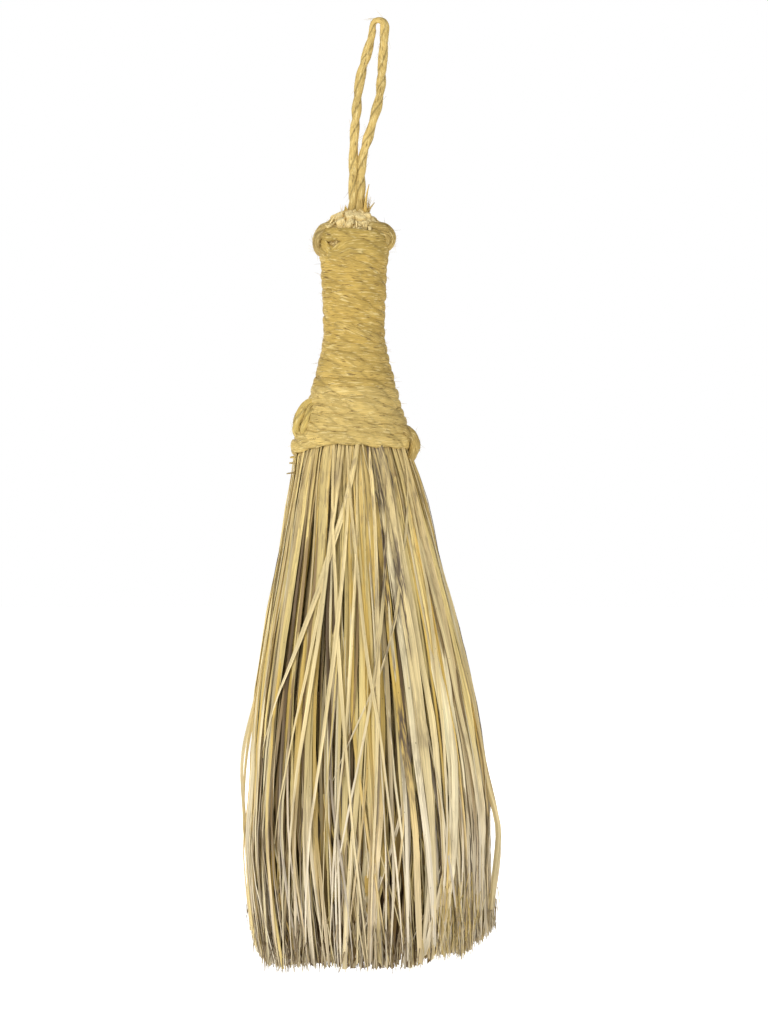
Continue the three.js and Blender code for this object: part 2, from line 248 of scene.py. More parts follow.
@dataclass(frozen=True)
class Layout:
    """The broom's main sizes, as in the CAD source. A pair is a half-width and a half-depth."""

    handle_x: float = -11.6
    hem_z: float = -442.9
    skirt_length: float = 243.0
    shoulder_height: float = 52.0
    grip_length: float = 42.0
    crown_rise: float = 6.0
    bulge_height: float = 66.0
    hem_tuck: float = 4.8
    hem_lean: float = 9.4
    lean_power: float = 0.85
    flare_power: float = 1.2
    fan_roundness: float = 0.6
    collar: Pair = (16.6, 16.0)
    grip: Pair = (14.7, 14.2)
    shoulder: Pair = (29.0, 24.6)
    skirt: Pair = (60.5, 43.5)
    cord: float = 3.9
    clearance: float = 0.35
    collar_turns: int = 3
    loop_cord: float = 4.4
    loop_offset: float = 1.4

    @property
    def pitch(self) -> float:
        """Height of one turn of the binding."""
        return self.cord + self.clearance

    @property
    def z_grip(self) -> float:
        """Height of the waist of the grip."""
        return self.skirt_length + self.shoulder_height

    @property
    def z_collar(self) -> float:
        """Height of the lower edge of the collar."""
        return self.z_grip + self.grip_length

    @property
    def z_collar_top(self) -> float:
        """Height of the top of the binding."""
        return self.z_collar + self.collar_turns * self.pitch

    @property
    def z_crown(self) -> float:
        """Height of the tallest stalk end."""
        return self.z_collar_top + self.crown_rise

    @property
    def z_loop_root(self) -> float:
        """Height at which the loop leaves the crown."""
        return self.z_crown + self.clearance + self.loop_cord / 2

    def row(self, points: np.ndarray) -> np.ndarray:
        """Points in metres in the row frame."""
        return (np.asarray(points, float) + np.array([self.handle_x, 0.0, self.hem_z])) * 0.001

    def binding(self, z: np.ndarray) -> tuple[np.ndarray, np.ndarray]:
        """Half-width and half-depth over the binding.

        Args:
            z: Heights.

        Returns:
            Half-widths and half-depths.
        """
        flare = np.clip((self.z_grip - z) / self.shoulder_height, 0, 1) ** self.flare_power
        swell = np.clip((z - self.z_grip) / self.grip_length, 0, 1) ** 2
        sizes = []
        for i in range(2):
            waist = self.grip[i]
            sizes.append(waist + (self.shoulder[i] - waist) * flare + (self.collar[i] - waist) * swell)
        return sizes[0], sizes[1]

    def leaves(self, z: np.ndarray) -> tuple[np.ndarray, np.ndarray, np.ndarray]:
        """Half-width, half-depth and sideways lean of the outside of the leaves.

        Args:
            z: Heights.

        Returns:
            Half-widths, half-depths and leans.
        """
        held = np.maximum(z, self.skirt_length)
        wide, deep = (size - self.pitch for size in self.binding(held))
        below = self.skirt_length - self.bulge_height
        fall = np.clip((self.skirt_length - z) / below, 0, 1)
        fan = self.fan_roundness * np.sin(fall * TURN / 4) + (1 - self.fan_roundness) * fall
        tuck = self.hem_tuck * np.clip((self.bulge_height - z) / self.bulge_height, 0, 1) ** 2
        lean = self.hem_lean * np.clip(1 - z / self.skirt_length, 0, 1) ** self.lean_power
        half_width = wide + (self.skirt[0] - wide) * fan - tuck
        half_depth = deep + (self.skirt[1] - deep) * fan - tuck
        return half_width, half_depth, lean

    def wound(
        self, angle: np.ndarray, z: np.ndarray, off: np.ndarray, height: np.ndarray
    ) -> tuple[np.ndarray, np.ndarray]:
        """A line wound round the binding.

        Args:
            angle: Its angles round the handle.
            z: Heights at which the binding's size is taken.
            off: How far off the binding's outside it runs.
            height: Its own heights.

        Returns:
            Its points, and the directions out of the binding there.
        """
        wide, deep = self.binding(z)
        points = np.column_stack([(wide + off) * np.cos(angle), (deep + off) * np.sin(angle), height])
        return points, oval_normal(angle, wide, deep)

    def under_leaves(self, angle: float, inset: float, z: float) -> np.ndarray:
        """A point at an angle and a height, so far under the outside of the leaves."""
        wide, deep, lean = self.leaves(np.array(z))
        return polar(wide - inset, deep - inset, angle, z) + np.array([lean, 0.0, 0.0])


class Draft:
    """Tubes of rings gathered into one mesh, with a colour, a grain and a place in a bake layout for each.

    The bake layout has a cell for each stretch of so many rings, with a margin at its sides and at its ends.
    """

    cell_rings: int = 48
    side_margin: float = 0.08
    end_margin: float = 0.03

    def __init__(self, layout: Layout) -> None:
        """Starts an empty draft.

        Args:
            layout: The broom's sizes.
        """
        self.layout = layout
        self.points: list[np.ndarray] = []
        self.tints: list[np.ndarray] = []
        self.stains: list[np.ndarray] = []
        self.grains: list[np.ndarray] = []
        self.creases: list[np.ndarray] = []
        self.faces: list[Sequence[int]] = []
        self.corners: list[np.ndarray] = []
        self.cells: list[Pair] = []
        self.total = 0

    def tube(
        self,
        rings: np.ndarray,
        tint: np.ndarray,
        grain: np.ndarray,
        sharp: Sequence[int] = (),
        stain: np.ndarray | float = 0.0,
    ) -> None:
        """Adds a closed tube.

        Args:
            rings: Points as rings, places in a ring and coordinates.
            tint: Linear colour of each point.
            grain: Grain coordinate of each point: two across the grain and one along it.
            sharp: Places in a ring along which the tube keeps a sharp edge.
            stain: Share of mould on each point.
        """
        count, sides = rings.shape[:2]
        index = self.total + np.arange(count * sides).reshape(count, sides)
        here, above = index[:-1], index[1:]
        quads = np.stack([here, np.roll(here, -1, 1), np.roll(above, -1, 1), above], -1)
        self.faces.extend(quads.reshape(-1, 4).tolist())
        self.faces.append(index[0][::-1].tolist())
        self.faces.append(index[-1].tolist())
        self.points.append(self.layout.row(rings.reshape(-1, 3)))
        self.tints.append(np.broadcast_to(tint, (count, sides, 3)).reshape(-1, 3))
        self.stains.append(np.broadcast_to(stain, (count, sides)).ravel())
        self.grains.append(np.broadcast_to(grain, (count, sides, 3)).reshape(-1, 3))
        crease = np.zeros((count, sides), int)
        crease[:, list(sharp)] = sides
        self.creases.append(crease.ravel())
        self._lay_out(rings)
        self.total += count * sides

    def _lay_out(self, rings: np.ndarray) -> None:
        """Gives each stretch of a tube a cell of its own in the bake layout.

        Args:
            rings: The tube's points.
        """
        count, sides = rings.shape[:2]
        across = np.linalg.norm(np.roll(rings, -1, 1) - rings, axis=2).sum(1).mean()
        along = np.linalg.norm(np.diff(rings.mean(1), axis=0), axis=1)
        stretches = np.array_split(np.arange(count - 1), math.ceil((count - 1) / self.cell_rings))
        left = np.arange(sides) / sides
        right = left + 1 / sides
        for rows in stretches:
            low = (rows - rows[0])[:, None] / len(rows)
            high = low + 1 / len(rows)
            u = np.stack(np.broadcast_arrays(left, right, right, left), -1)
            u = np.broadcast_to(u, (len(rows), sides, 4))
            v = np.stack(np.broadcast_arrays(low, low, high, high), -1)
            v = np.broadcast_to(v, (len(rows), sides, 4))
            cell = np.full((len(rows), sides, 4), len(self.cells))
            self.corners.append(np.stack([cell, u, v], -1).reshape(-1, 3))
            self.cells.append((float(along[rows].sum()), float(across)))
        first, last = len(self.cells) - len(stretches), len(self.cells) - 1
        self.corners.append(np.stack([np.full(sides, first), left, np.zeros(sides)], -1))
        self.corners.append(np.stack([np.full(sides, last), left, np.ones(sides)], -1))

    def _bake_layout(self) -> np.ndarray:
        """Places in the bake layout of all corners, with the cells in a grid.

        Returns:
            Two coordinates for each corner.
        """
        sizes = np.array(self.cells)
        count = len(sizes)
        slender = sizes[:, 0].mean() / sizes[:, 1].mean()
        columns = int(np.clip(round(math.sqrt(count * slender)), 1, count))
        rows = math.ceil(count / columns)
        corners = np.vstack(self.corners)
        cell = corners[:, 0].astype(int)
        u = (cell % columns + self.side_margin + (1 - 2 * self.side_margin) * corners[:, 1]) / columns
        v = (cell // columns + self.end_margin + (1 - 2 * self.end_margin) * corners[:, 2]) / rows
        return np.stack([u, v], -1)

    def make(self, name: str) -> Piece:
        """Makes the object.

        Args:
            name: Its name.

        Returns:
            The object, linked to the scene and not yet dressed.
        """
        mesh = bpy.data.meshes.new(name)
        mesh.from_pydata(np.vstack(self.points).tolist(), [], self.faces)
        mesh.polygons.foreach_set("use_smooth", np.ones(len(mesh.polygons), bool))
        tint = np.vstack(self.tints)
        colours = np.clip(np.column_stack([tint, 1 - np.concatenate(self.stains)]), 0, 1)
        layer = mesh.color_attributes.new("tint", "FLOAT_COLOR", "POINT")
        layer.data.foreach_set("color", colours.astype(np.float32).ravel())
        grain = mesh.attributes.new("grain", "FLOAT_VECTOR", "POINT")
        grain.data.foreach_set("vector", np.vstack(self.grains).astype(np.float32).ravel())
        uv = mesh.uv_layers.new(name="OFBake")
        uv.data.foreach_set("uv", self._bake_layout().astype(np.float32).ravel())
        ends = np.zeros(2 * len(mesh.edges), np.int32)
        mesh.edges.foreach_get("vertices", ends)
        ends = ends.reshape(-1, 2)
        key = np.concatenate(self.creases)
        apart = np.abs(ends[:, 1] - ends[:, 0])
        sharp = (key[ends[:, 0]] > 0) & (key[ends[:, 0]] == apart) & (key[ends[:, 1]] == apart)
        edge = mesh.attributes.new("sharp_edge", "BOOLEAN", "EDGE")
        edge.data.foreach_set("value", sharp)
        mesh.update()
        made = bpy.data.objects.new(name, mesh)
        bpy.context.scene.collection.objects.link(made)
        return made


@dataclass(frozen=True)
class Pattern:
    """Noise on a surface: its stretch, the values between which it shows, and its strength at both."""

    stretch: tuple[float, float, float]
    detail: float
    between: Pair
    strength: Pair
    scale: float = 1.0


class Shader:
    """A material under construction: its nodes, and the links between them."""

    def __init__(self, name: str) -> None:
        """Starts a material with a plain surface.

        Args:
            name: The material's name.
        """
        self.material = bpy.data.materials.new(name)
        self.material.use_nodes = True
        self.tree = self.material.node_tree
        self.surface = self.tree.nodes["Principled BSDF"]

    def add(self, kind: str, settings: dict[str, object] | None = None, **inputs: object) -> bpy.types.Node:
        """Adds a node.

        Args:
            kind: Type of the node.
            settings: Values of the node's own properties.
            **inputs: Values or sockets for its inputs, by name with _ for a blank.

        Returns:
            The node.
        """
        node = self.tree.nodes.new(kind)
        for key, value in (settings or {}).items():
            setattr(node, key, value)
        for key, value in inputs.items():
            self.feed(node.inputs[key.replace("_", " ")], value)
        return node

    def feed(self, socket: Socket, value: object) -> None:
        """Links a socket to an input, or sets the input's value.

        Args:
            socket: The input.
            value: A socket or a value.
        """
        if isinstance(value, Socket):
            self.tree.links.new(value, socket)
        else:
            socket.default_value = value

    def attribute(self, name: str, output: str) -> Socket:
        """An output of a mesh attribute."""
        return self.add("ShaderNodeAttribute", {"attribute_name": name}).outputs[output]

    def place(self) -> Socket:
        """The place on the object."""
        return self.add("ShaderNodeTexCoord").outputs["Object"]

    def combined(self, kind: str, operation: str, values: dict[int | str, object]) -> Socket:
        """The result of a maths node.

        Args:
            kind: Type of the node.
            operation: What it does.
            values: Values or sockets for its inputs, by place or name.

        Returns:
            The result.
        """
        node = self.add(kind, {"operation": operation})
        for place, value in values.items():
            self.feed(node.inputs[place], value)
        return node.outputs[0]

    def scaled(self, colour: Socket, by: Socket) -> Socket:
        """A colour made lighter or darker by a factor."""
        return self.combined("ShaderNodeVectorMath", "SCALE", {0: colour, "Scale": by})

    def product(self, one: Socket, other: Socket) -> Socket:
        """Two values multiplied."""
        return self.combined("ShaderNodeMath", "MULTIPLY", {0: one, 1: other})

    def mapped(self, value: Socket, source: Pair, target: Pair) -> Socket:
        """A value taken from one range to another and kept inside it.

        Args:
            value: What is taken over.
            source: The range it comes from.
            target: The range it goes to.

        Returns:
            The new value.
        """
        node = self.add(
            "ShaderNodeMapRange",
            {"interpolation_type": "SMOOTHSTEP"},
            Value=value,
            From_Min=source[0],
            From_Max=source[1],
            To_Min=target[0],
            To_Max=target[1],
        )
        return node.outputs[0]

    def noise(self, vector: Socket, pattern: Pattern) -> Socket:
        """Soft noise from 0 to 1.

        Args:
            vector: The coordinate at which it is read.
            pattern: Its stretch, scale and detail.

        Returns:
            The noise.
        """
        stretched = self.combined("ShaderNodeVectorMath", "MULTIPLY", {0: vector, 1: pattern.stretch})
        sizes = {"Scale": pattern.scale, "Detail": pattern.detail}
        return self.add("ShaderNodeTexNoise", None, Vector=stretched, **sizes).outputs[0]

    def level(self, noise: Socket, pattern: Pattern) -> Socket:
        """How strongly a pattern shows, from its noise."""
        return self.mapped(noise, pattern.between, pattern.strength)

    def shown(self, vector: Socket, pattern: Pattern) -> Socket:
        """How strongly a pattern shows at a coordinate."""
        return self.level(self.noise(vector, pattern), pattern)

    def mixed(self, base: object, over: Colour, share: Socket) -> Socket:
        """A screen colour laid over another colour by a share.

        Args:
            base: The colour below, a socket or linear values.
            over: The screen colour above.
            share: How much of it shows.

        Returns:
            The mixed colour.
        """
        node = self.add("ShaderNodeMix", {"data_type": "RGBA"})
        for place, value in ((0, share), (6, base), (7, opaque(over))):
            self.feed(node.inputs[place], value)
        return node.outputs[2]

    def above(self, low: float, high: float) -> Socket:
        """How far up the object the surface is, from 0 at a low height to 1 at a high one."""
        node = self.add("ShaderNodeSeparateXYZ", None, Vector=self.place())
        return self.mapped(node.outputs[2], (low, high), (0.0, 1.0))

    def finish(self, colour: object, roughness: object, specular: float) -> None:
        """Gives the surface its colour and gloss.

        Args:
            colour: A socket or linear values.
            roughness: A socket or a value.
            specular: Strength of its reflections.
        """
        self.feed(self.surface.inputs["Base Color"], colour)
        self.feed(self.surface.inputs["Roughness"], roughness)
        self.feed(self.surface.inputs["Specular IOR Level"], specular)

    def raised(self, height: Socket, strength: float, distance: float) -> None:
        """Gives the surface relief from a height."""
        node = self.add("ShaderNodeBump", None, Height=height, Strength=strength, Distance=distance)
        self.feed(self.surface.inputs["Normal"], node.outputs[0])


@dataclass(frozen=True)
class LeafFinish:
    """Dry palm leaf: veined along the blade, with weather stains and mould specks."""

    name: str = "dry_palm_leaf"
    stain: Colour = (122, 103, 74)
    speck: Colour = (62, 48, 32)
    mould: Colour = (86, 72, 58)
    veins: Pattern = Pattern((3.4, 3.4, 0.05), 3.0, (0.3, 0.7), (0.8, 1.09))
    streaks: Pattern = Pattern((0.9, 0.9, 0.012), 2.0, (0.3, 0.7), (0.8, 1.06))
    blotches: Pattern = Pattern((1.0, 1.0, 0.35), 4.0, (0.55, 0.75), (0.0, 0.45), scale=95.0)
    patches: Pattern = Pattern((0.7, 0.7, 0.13), 3.0, (0.5, 0.66), (0.0, 0.55))
    specks: Pattern = Pattern((0.8, 0.8, 0.45), 2.0, (0.7, 0.77), (0.0, 0.65))
    mottle: Pattern = Pattern((1.7, 1.7, 0.13), 3.0, (0.38, 0.56), (0.1, 1.0))
    patched_above: Pair = (-0.31, -0.22)
    roughness: Pair = (0.62, 0.46)
    specular: float = 0.35
    relief: Pair = (0.45, 0.0004)

    def material(self) -> Material:
        """Makes the material.

        Returns:
            The material.
        """
        shader = Shader(self.name)
        grain = shader.attribute("grain", "Vector")
        veins = shader.noise(grain, self.veins)
        colour = shader.scaled(shader.attribute("tint", "Color"), shader.level(veins, self.veins))
        colour = shader.scaled(colour, shader.shown(grain, self.streaks))
        colour = shader.mixed(colour, self.stain, shader.shown(shader.place(), self.blotches))
        patches = shader.product(shader.shown(grain, self.patches), shader.above(*self.patched_above))
        colour = shader.mixed(colour, self.stain, patches)
        colour = shader.mixed(colour, self.speck, shader.shown(grain, self.specks))
        mouldy = shader.mapped(shader.attribute("tint", "Alpha"), (1.0, 0.0), (0.0, 1.0))
        mouldy = shader.product(mouldy, shader.shown(grain, self.mottle))
        colour = shader.mixed(colour, self.mould, mouldy)
        shader.finish(colour, shader.mapped(veins, self.veins.between, self.roughness), self.specular)
        shader.raised(veins, *self.relief)
        return shader.material


@dataclass(frozen=True)
class CordFinish:
    """Hand-spun palm cord: fibres along the strands, pale flecks, and dark dashes of painted shade for the
    slits between fibres.
    """

    name: str = "palm_cord"
    pale: Colour = (232, 212, 150)
    slit_shade: Colour = (104, 80, 38)
    fibres: Pattern = Pattern((3.2, 3.2, 0.24), 3.0, (0.3, 0.7), (0.76, 1.14))
    slits: Pattern = Pattern((1.5, 1.5, 0.19), 2.0, (0.4, 0.31), (0.0, 0.8))
    flecks: Pattern = Pattern((1.6, 1.6, 0.22), 2.0, (0.56, 0.68), (0.0, 0.55))
    roughness: Pair = (0.78, 0.58)
    specular: float = 0.3
    relief: Pair = (0.5, 0.0005)

    def material(self) -> Material:
        """Makes the material.

        Returns:
            The material.
        """
        shader = Shader(self.name)
        grain = shader.attribute("grain", "Vector")
        fibres = shader.noise(grain, self.fibres)
        colour = shader.scaled(shader.attribute("tint", "Color"), shader.level(fibres, self.fibres))
        colour = shader.mixed(colour, self.pale, shader.shown(grain, self.flecks))
        # Painted shade: dark dashes stand in for shaded slits between the fibres.
        colour = shader.mixed(colour, self.slit_shade, shader.shown(grain, self.slits))
        shader.finish(colour, shader.mapped(fibres, self.fibres.between, self.roughness), self.specular)
        shader.raised(fibres, *self.relief)
        return shader.material


@dataclass(frozen=True)
class StalkFinish:
    """Cut leaf stalk: pale pith with fibre ends, and dark spots of painted shade for the holes in the pith.
    """

    name: str = "cut_stalk"
    pit: Colour = (70, 52, 28)
    fibre: Colour = (190, 158, 96)
    pith: Pattern = Pattern((1.0, 1.0, 1.0), 3.0, (0.3, 0.7), (0.86, 1.07), scale=700.0)
    ends: Pattern = Pattern((1.0, 1.0, 0.12), 1.0, (0.52, 0.66), (0.0, 0.55), scale=1500.0)
    pit_shade_spots: Pattern = Pattern((1.0, 1.0, 1.0), 2.0, (0.66, 0.78), (0.0, 0.6), scale=420.0)
    roughness: Pair = (0.7, 0.88)
    specular: float = 0.25
    relief: Pair = (0.7, 0.0007)

    def material(self) -> Material:
        """Makes the material.

        Returns:
            The material.
        """
        shader = Shader(self.name)
        place = shader.place()
        pith = shader.noise(place, self.pith)
        ends = shader.noise(place, self.ends)
        colour = shader.scaled(shader.attribute("tint", "Color"), shader.level(pith, self.pith))
        colour = shader.mixed(colour, self.fibre, shader.level(ends, self.ends))
        # Painted shade: dark spots stand in for the shade in small holes of the pith.
        colour = shader.mixed(colour, self.pit, shader.shown(place, self.pit_shade_spots))
        shader.finish(colour, shader.mapped(pith, self.pith.between, self.roughness), self.specular)
        shader.raised(ends, *self.relief)
        return shader.material


@dataclass(frozen=True)
class TieFinish:
    """Thin twine of the hidden ties, with its twist as relief."""

    name: str = "tie_twine"
    pale: Colour = (176, 150, 96)
    dark: Colour = (104, 82, 44)
    fibres: Pattern = Pattern((1.0, 1.0, 3.0), 3.0, (0.3, 0.7), (0.0, 1.0), scale=900.0)
    roughness: Pair = (0.9, 0.7)
    specular: float = 0.5
    relief: Pair = (0.6, 0.0005)

    def material(self) -> Material:
        """Makes the material.

        Returns:
            The material.
        """
        shader = Shader(self.name)
        fibres = shader.noise(shader.place(), self.fibres)
        colour = shader.mixed(opaque(self.dark), self.pale, shader.level(fibres, self.fibres))
        shader.finish(colour, shader.mapped(fibres, self.fibres.between, self.roughness), self.specular)
        shader.raised(fibres, *self.relief)
        return shader.material


@dataclass(frozen=True)
class StageFinish:
    """Plain studio white."""

    name: str
    grey: float
    glow: float
    roughness: float = 0.9

    def material(self) -> Material:
        """Makes the material.

        Returns:
            The material.
        """
        shader = Shader(self.name)
        shader.finish((self.grey, self.grey, self.grey, 1.0), self.roughness, 0.0)
        shader.feed(shader.surface.inputs["Emission Color"], (1.0, 1.0, 1.0, 1.0))
        shader.feed(shader.surface.inputs["Emission Strength"], self.glow)
        return shader.material


class Slot(Enum):
    """The record's material slots."""

    LEAF = "leaf"
    STALK = "stalk"
    CORD = "cord"


def dress(piece: Piece, finish: Material, nodes: Sequence[str] = ()) -> None:
    """Gives a piece its finish and hides the CAD nodes that it stands for.

    Args:
        piece: The piece.
        finish: Its material.
        nodes: CAD nodes that it replaces.
    """
    piece.data.materials.append(finish)
    if nodes:
        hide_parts(*nodes)


@dataclass(frozen=True)
class Lamp:
    """A square light that faces the broom, in metres and watts."""

    name: str
    place: tuple[float, float, float]
    size: float
    power: float

    def hang(self, target: Vector) -> None:
        """Puts the light in the scene.

        Args:
            target: The point that it faces.
        """
        data = bpy.data.lights.new(self.name, "AREA")
        data.size = self.size
        data.energy = self.power
        light = bpy.data.objects.new(self.name, data)
        light.location = self.place
        light.rotation_euler = (target - Vector(self.place)).to_track_quat("-Z", "Y").to_euler()
        bpy.context.scene.collection.objects.link(light)


@dataclass
class Studio:
    """Camera, floor, backdrop and lights, in metres but for the camera's sensor."""

    distance: float = 2.0
    frame_height: float = 0.4822
    aim: Pair = (0.0025, -0.2295)
    sensor: float = 36.0
    sight: float = 40.0
    floor_drop: float = 0.03
    radius: float = 9.0
    ambient: float = 0.5
    surround: Colour = (1.0, 0.99, 0.97)
    floor: StageFinish = StageFinish("pale_floor", grey=0.86, glow=0.62)
    backdrop: StageFinish = StageFinish("white_backdrop", grey=0.0, glow=1.0)
    lamps: tuple[Lamp, ...] = (
        Lamp("key", (-1.0, -1.5, 0.6), size=0.9, power=20.5),
        Lamp("fill", (1.3, -1.4, 0.2), size=1.4, power=6.0),
        Lamp("back", (-0.5, 1.9, 0.6), size=1.4, power=20.0),
    )

    def build(self) -> None:
        """Sets the camera as in the photograph, and the stage round the broom."""
        self._camera()
        self._stage()
        self._lights()
        view = bpy.context.scene.view_settings
        view.view_transform = "Standard"
        view.look = "None"

    def _camera(self) -> None:
        """A long lens straight in front of the broom."""
        data = bpy.data.cameras.new("camera")
        data.sensor_width = self.sensor
        data.lens = self.sensor * self.distance / self.frame_height
        data.clip_end = self.sight
        camera = bpy.data.objects.new("camera", data)
        camera.location = (self.aim[0], -self.distance, self.aim[1])
        camera.rotation_euler = (math.radians(90), 0.0, 0.0)
        bpy.context.scene.collection.objects.link(camera)
        bpy.context.scene.camera = camera

    def _stage(self) -> None:
        """A pale floor, and a white dome that only the camera sees."""
        bottom = (0, 0, CAD_BOX[0].z - self.floor_drop)
        bpy.ops.mesh.primitive_circle_add(
            vertices=64, radius=self.radius, fill_type="NGON", location=bottom
        )
        floor = bpy.context.object
        floor.name = "floor"
        floor.data.materials.append(self.floor.material())
        bpy.ops.mesh.primitive_uv_sphere_add(segments=64, ring_count=32, radius=self.radius)
        dome = bpy.context.object
        dome.name = "backdrop"
        dome.data.materials.append(self.backdrop.material())
        dome.visible_diffuse = False
        dome.visible_glossy = False
        dome.visible_transmission = False
        dome.visible_shadow = False

    def _lights(self) -> None:
        """Soft light from the front left, the right and behind, and an even surround."""
        world = bpy.data.worlds.new("surround")
        world.use_nodes = True
        background = world.node_tree.nodes["Background"]
        background.inputs["Color"].default_value = (*self.surround, 1.0)
        background.inputs["Strength"].default_value = self.ambient
        bpy.context.scene.world = world
        for lamp in self.lamps:
            lamp.hang(Vector((self.aim[0], 0.0, self.aim[1])))


@dataclass(frozen=True)
class Rope:
    """Two-strand twisted cord.

    Lobe and apart, the size and place of its strands, are shares of the diameter. Press flattens the cord on
    what it lies on, and the groove share is how much colour is left, as painted shade, where the strands
    meet in the lay. A pair is an unevenness along the cord: its height and its longest wavelength.
    """

    diameter: float
    lay: float = 22.0
    lobe: float = 0.41
    apart: float = 0.1
    arc: int = 8
    press: float = 1.0
    groove_shade: float = 0.74
    groove_edge: float = 0.05
    colour: Colour = (195, 165, 88)
    twist: Pair = (0.5, 45.0)
    swelling: Pair = (0.05, 17.0)
    fading: Pair = (0.1, 60.0)
    mottling: Pair = (0.05, 13.0)
    darker_strand: float = 0.88

    def section(self) -> np.ndarray:
        """The outline of the two strands side by side, for a diameter of 1.

        Returns:
            Places in the outline, turning from the first axis to the second.
        """
        reach = math.acos(-self.apart / self.lobe)
        angles = np.linspace(-reach, reach, self.arc + 1)[:-1]
        strand = np.column_stack([self.apart + self.lobe * np.cos(angles), self.lobe * np.sin(angles)])
        return np.vstack([strand, -strand])

    def add_to(
        self, draft: Draft, path: np.ndarray, outward: np.ndarray, rng: Rng, swell: np.ndarray | float = 1.0
    ) -> None:
        """Adds a length of this cord to a draft.

        Args:
            draft: Where it is added.
            path: Its centreline.
            outward: Directions away from what it lies on, one for each point of the centreline.
            rng: Source of its unevenness.
            swell: How much thicker it is, at each point or everywhere.
        """
        along = lengths_along(path)
        ahead = unit(np.gradient(path, axis=0))
        side = unit(np.cross(ahead, outward))
        out = np.cross(side, ahead)
        turn = TURN * along / self.lay + rng.uniform(0, TURN) + uneven(along, rng, self.twist)
        size = (self.diameter * swell * (1 + uneven(along, rng, self.swelling)))[:, None]
        shape = self.section()
        c, s = np.cos(turn)[:, None], np.sin(turn)[:, None]
        over = size * (self.press * (shape[:, 0] * c - shape[:, 1] * s))
        across = size * (shape[:, 0] * s + shape[:, 1] * c)
        rings = sweep(path, out, side, over, across)
        draft.tube(rings, self._tints(shape, along, rng), grain_of(over, across, along, rng))

    def _tints(self, shape: np.ndarray, along: np.ndarray, rng: Rng) -> np.ndarray:
        """Colours of the cord, with painted shade in the lay, and uneven along its length.

        Args:
            shape: Its section.
            along: Lengths along it.
            rng: Source of its unevenness.

        Returns:
            Colours, ring by ring.
        """
        half = np.hypot(shape[:, 0], shape[:, 1])
        waist = half.min()
        # Painted shade: the colour darkens towards the waist where the two strands meet in the lay.
        worn = self.groove_shade + (1 - self.groove_shade) * ease(half, waist, waist + self.groove_edge)
        shade = 1 + uneven(along, rng, self.fading) + uneven(along, rng, self.mottling)
        strand = np.where(np.arange(len(shape)) < self.arc, 1.0, rng.uniform(self.darker_strand, 1.0))
        return linear(*self.colour) * (shade[:, None] * (worn * strand)[None, :])[:, :, None]


@dataclass(frozen=True)
class Fibres:
    """Loose hairs of fibre. Thinning is how much of the thickness is lost at the end."""

    thickness: float
    colour: Colour = (222, 194, 118)
    thinning: float = 0.75
    stations: int = 6
    sides: int = 3

    def add_to(
        self, draft: Draft, start: np.ndarray, ahead: np.ndarray, length: float, rng: Rng, curl: float = 0.35
    ) -> None:
        """Adds one hair to a draft.

        Args:
            draft: Where it is added.
            start: Where it starts.
            ahead: The way it starts.
            length: Its length.
            rng: Source of its bend and colour.
            curl: How far it bends, as a share of its length.
        """
        t = np.linspace(0, 1, self.stations)[:, None]
        ahead = unit(ahead)
        bend = unit(np.cross(ahead, rng.normal(size=3)))
        path = start + ahead * length * t + bend * curl * length * rng.uniform(-1, 1) * t**2
        way = unit(np.gradient(path, axis=0))
        side = unit(np.cross(way, bend + 0.01))
        out = np.cross(side, way)
        turn = TURN * np.arange(self.sides) / self.sides
        radius = 0.5 * self.thickness * rng.uniform(0.7, 1.3) * (1 - self.thinning * t**2)
        rings = sweep(path, out, side, radius * np.cos(turn), radius * np.sin(turn))
        tint = linear(*self.colour) * rng.uniform(0.75, 1.12)
        draft.tube(rings, tint, rng.uniform(0, GRAIN_RANGE, 3))


